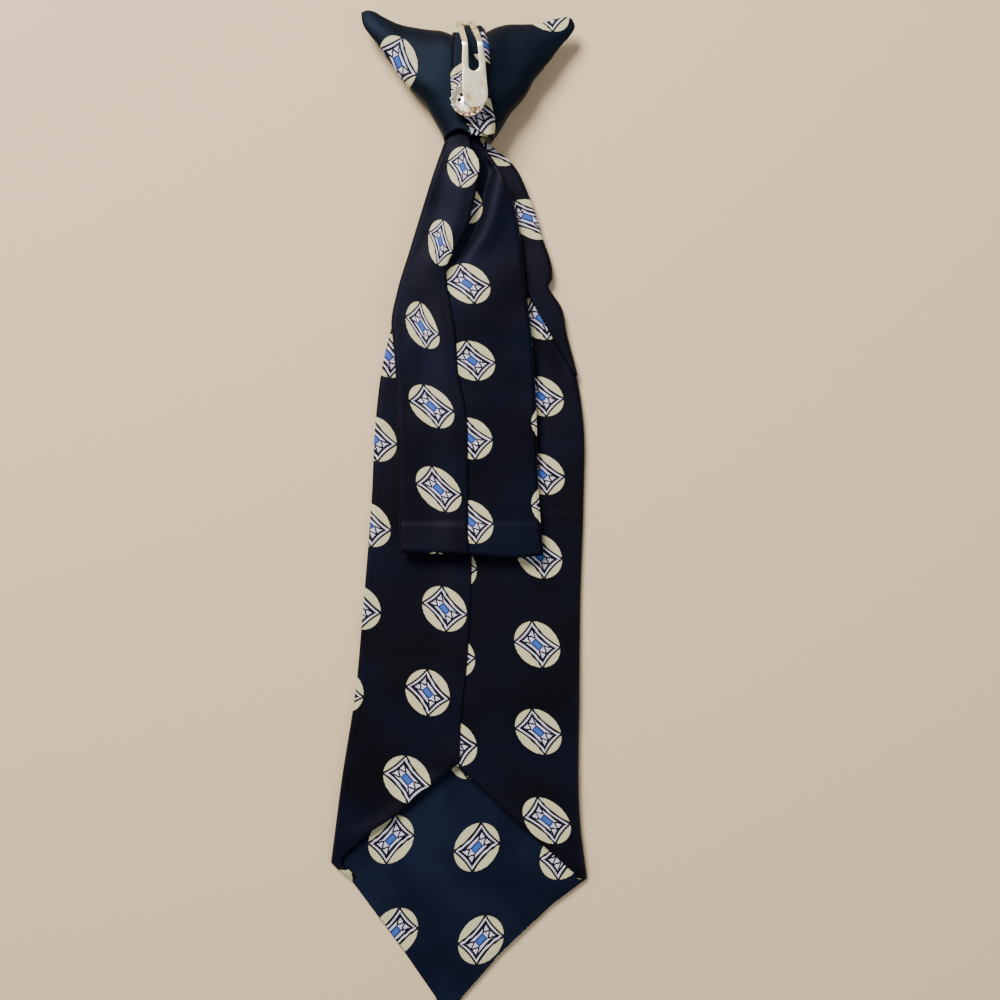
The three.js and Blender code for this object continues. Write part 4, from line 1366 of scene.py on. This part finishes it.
def slot_half(at):
    if at > slot_bottom:  # no slot there: this spaces the columns again
        return SLOT_END_RADIUS * step(at, slot_bottom - 0.1, slot_bottom + 1.6)
    if at > slot_low:
        return round_half(SLOT_END_RADIUS, at - slot_low)
    return float(corners_through(SLOT_HALVES, at))


def bent_place(at, sideways):
    point = np.array([np.interp(at, path_length, path_points[:, k]) for k in range(3)])
    return Vector((point[0] + sideways, point[1], point[2])) * MM


STRIP_COLUMNS = 9
CENTRE = 4  # the middle column; the slot is cut between the columns beside it
strip_rows = len(strip_at)
work = bmesh.new()
bmesh.ops.create_grid(work, x_segments=STRIP_COLUMNS - 1, y_segments=strip_rows - 1, size=0.5)
places = {vert: grid_place(vert, strip_rows, STRIP_COLUMNS) for vert in work.verts}
gone = []
for face in work.faces:
    rows_of_face = [places[vert][0] for vert in face.verts]
    aside_of_face = [abs(places[vert][1] - CENTRE) for vert in face.verts]
    at = (strip_at[min(rows_of_face)] + strip_at[max(rows_of_face)]) / 2
    if max(aside_of_face) <= 1 and slot_high < at < slot_bottom:
        gone.append(face)
for vert, (r, c) in places.items():
    at = float(strip_at[r])
    outer_half = strip_half(at)
    inner_half = min(slot_half(at), 0.6 * outer_half)
    if abs(c - CENTRE) <= 1:
        sideways = (c - CENTRE) * inner_half
    else:
        sign = -1 if c < CENTRE else 1
        sideways = sign * (inner_half + (outer_half - inner_half) * (abs(c - CENTRE) - 1) / 3)
    vert.co = bent_place(at, sideways)
bmesh.ops.delete(work, geom=gone, context="FACES")
bmesh.ops.remove_doubles(work, verts=work.verts, dist=0.000005)
for face in work.faces:
    face.smooth = True
clip = finish_mesh("clip_strip", work)
thicken(clip, 0.7)
soft_edge = clip.modifiers.new("rounded edges", "BEVEL")
soft_edge.width = 0.00014
soft_edge.segments = 2
soft_edge.limit_method = "ANGLE"
soft_edge.angle_limit = math.radians(50)
clip.data.materials.append(spring_steel)
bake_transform(clip)
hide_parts("clip_base", "clip_tongue")
print("clip", len(clip.data.vertices), "points")

# %% [markdown]
# ## The toothed disc
#
# The disc that bites the collar is a shallow stamped cup. A profile is spun into a dish with a
# rolled lip. Then the lip is pressed down between the teeth, and each tooth is drawn out a
# little. Last, four small holes are cut through the dish and their walls are closed.

# %% Disc
DISC = (3.0, 114.1)
DISC_LOW = 11.5
TEETH = 16
STEPS = TEETH * 6
LIP_RADIUS = 4.1
LIP_LOW = 1.1
LIP_HIGH = 1.4  # the lip's height above that
TOOTH_DEPTH = 1.2
TOOTH_FLARE = 0.08
DISC_PROFILE = [
    (0.0, 1.35), (0.5, 1.32), (0.95, 1.05), (1.3, 0.78), (1.6, 0.75), (1.9, 0.73), (2.2, 0.72),
    (2.5, 0.72), (2.8, 0.74), (3.1, 0.78), (3.4, 0.84), (3.85, 1.15), (4.2, 1.8), (4.5, 2.45),
    (4.78, 2.5), (4.75, 2.0), (4.62, 1.2), (4.45, 0.5), (4.0, 0.08), (3.4, 0.03), (3.1, 0.02),
    (2.8, 0.01), (2.5, 0.0), (2.2, 0.0), (1.9, 0.0), (1.6, 0.0), (1.3, 0.0), (0.0, 0.0),
]
HOLE_RADIUS = 0.5
HOLE_CIRCLE = 2.42  # from the disc's middle to each hole's
HOLE_DEGREES = (176.0, 138.0, -4.0, -42.0)
work = bmesh.new()
rim = [work.verts.new((radius * MM, 0.0, height * MM)) for radius, height in DISC_PROFILE]
edges = [work.edges.new(pair) for pair in zip(rim, rim[1:])]
bmesh.ops.spin(
    work,
    geom=rim + edges,
    cent=(0, 0, 0),
    axis=(0, 0, 1),
    dvec=(0, 0, 0),
    angle=2 * math.pi,
    steps=STEPS,
    use_merge=True,
    use_normal_flip=False,
    use_duplicate=False,
)
bmesh.ops.remove_doubles(work, verts=work.verts, dist=0.000002)
for vert in work.verts:
    radius = math.hypot(vert.co.x, vert.co.y)
    if radius > LIP_RADIUS * MM and vert.co.z > LIP_LOW * MM:
        angle = math.atan2(vert.co.y, vert.co.x)
        tooth = 0.5 + 0.5 * math.cos(angle * TEETH)
        high = min(max((vert.co.z / MM - LIP_LOW) / LIP_HIGH, 0.0), 1.0)
        vert.co.z -= (1 - tooth) ** 1.4 * high * TOOTH_DEPTH * MM
        stretch = 1 + TOOTH_FLARE * (tooth - 0.6) * high
        vert.co.x *= stretch
        vert.co.y *= stretch
for degrees in HOLE_DEGREES:
    angle = math.radians(degrees)
    centre = Vector((HOLE_CIRCLE * math.cos(angle), HOLE_CIRCLE * math.sin(angle))) * MM
    inside_hole = [f for f in work.faces if (f.calc_center_median().xy - centre).length < HOLE_RADIUS * MM]
    bmesh.ops.delete(work, geom=inside_hole, context="FACES")
    rim_edges = [e for e in work.edges if e.is_boundary]
    for vert in {v for e in rim_edges for v in e.verts}:
        away = vert.co.xy - centre
        vert.co.xy = centre + away.normalized() * HOLE_RADIUS * MM
    bmesh.ops.bridge_loops(work, edges=rim_edges)
bmesh.ops.recalc_face_normals(work, faces=work.faces)
bmesh.ops.translate(work, verts=work.verts, vec=Vector((DISC[0], DISC[1], DISC_LOW)) * MM)
for face in work.faces:
    face.smooth = True
disc = finish_mesh("clip_disc_cup", work)
disc.data.materials.append(disc_steel)
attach(disc, "root")
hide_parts("clip_disc")
print("disc", len(disc.data.polygons), "faces")

# %% [markdown]
# ## The floor
#
# A plain pale floor carries the tie. It isn't part of the object.

# %% Floor
work = bmesh.new()
bmesh.ops.create_grid(work, x_segments=1, y_segments=1, size=1.5)
floor = finish_mesh("floor", work)
floor_paint, _, floor_shader = new_material("floor paint")
floor_shader.inputs["Base Color"].default_value = (0.6, 0.455, 0.28, 1.0)
floor_shader.inputs["Roughness"].default_value = 0.9
floor.data.materials.append(floor_paint)
print("floor", floor.name)
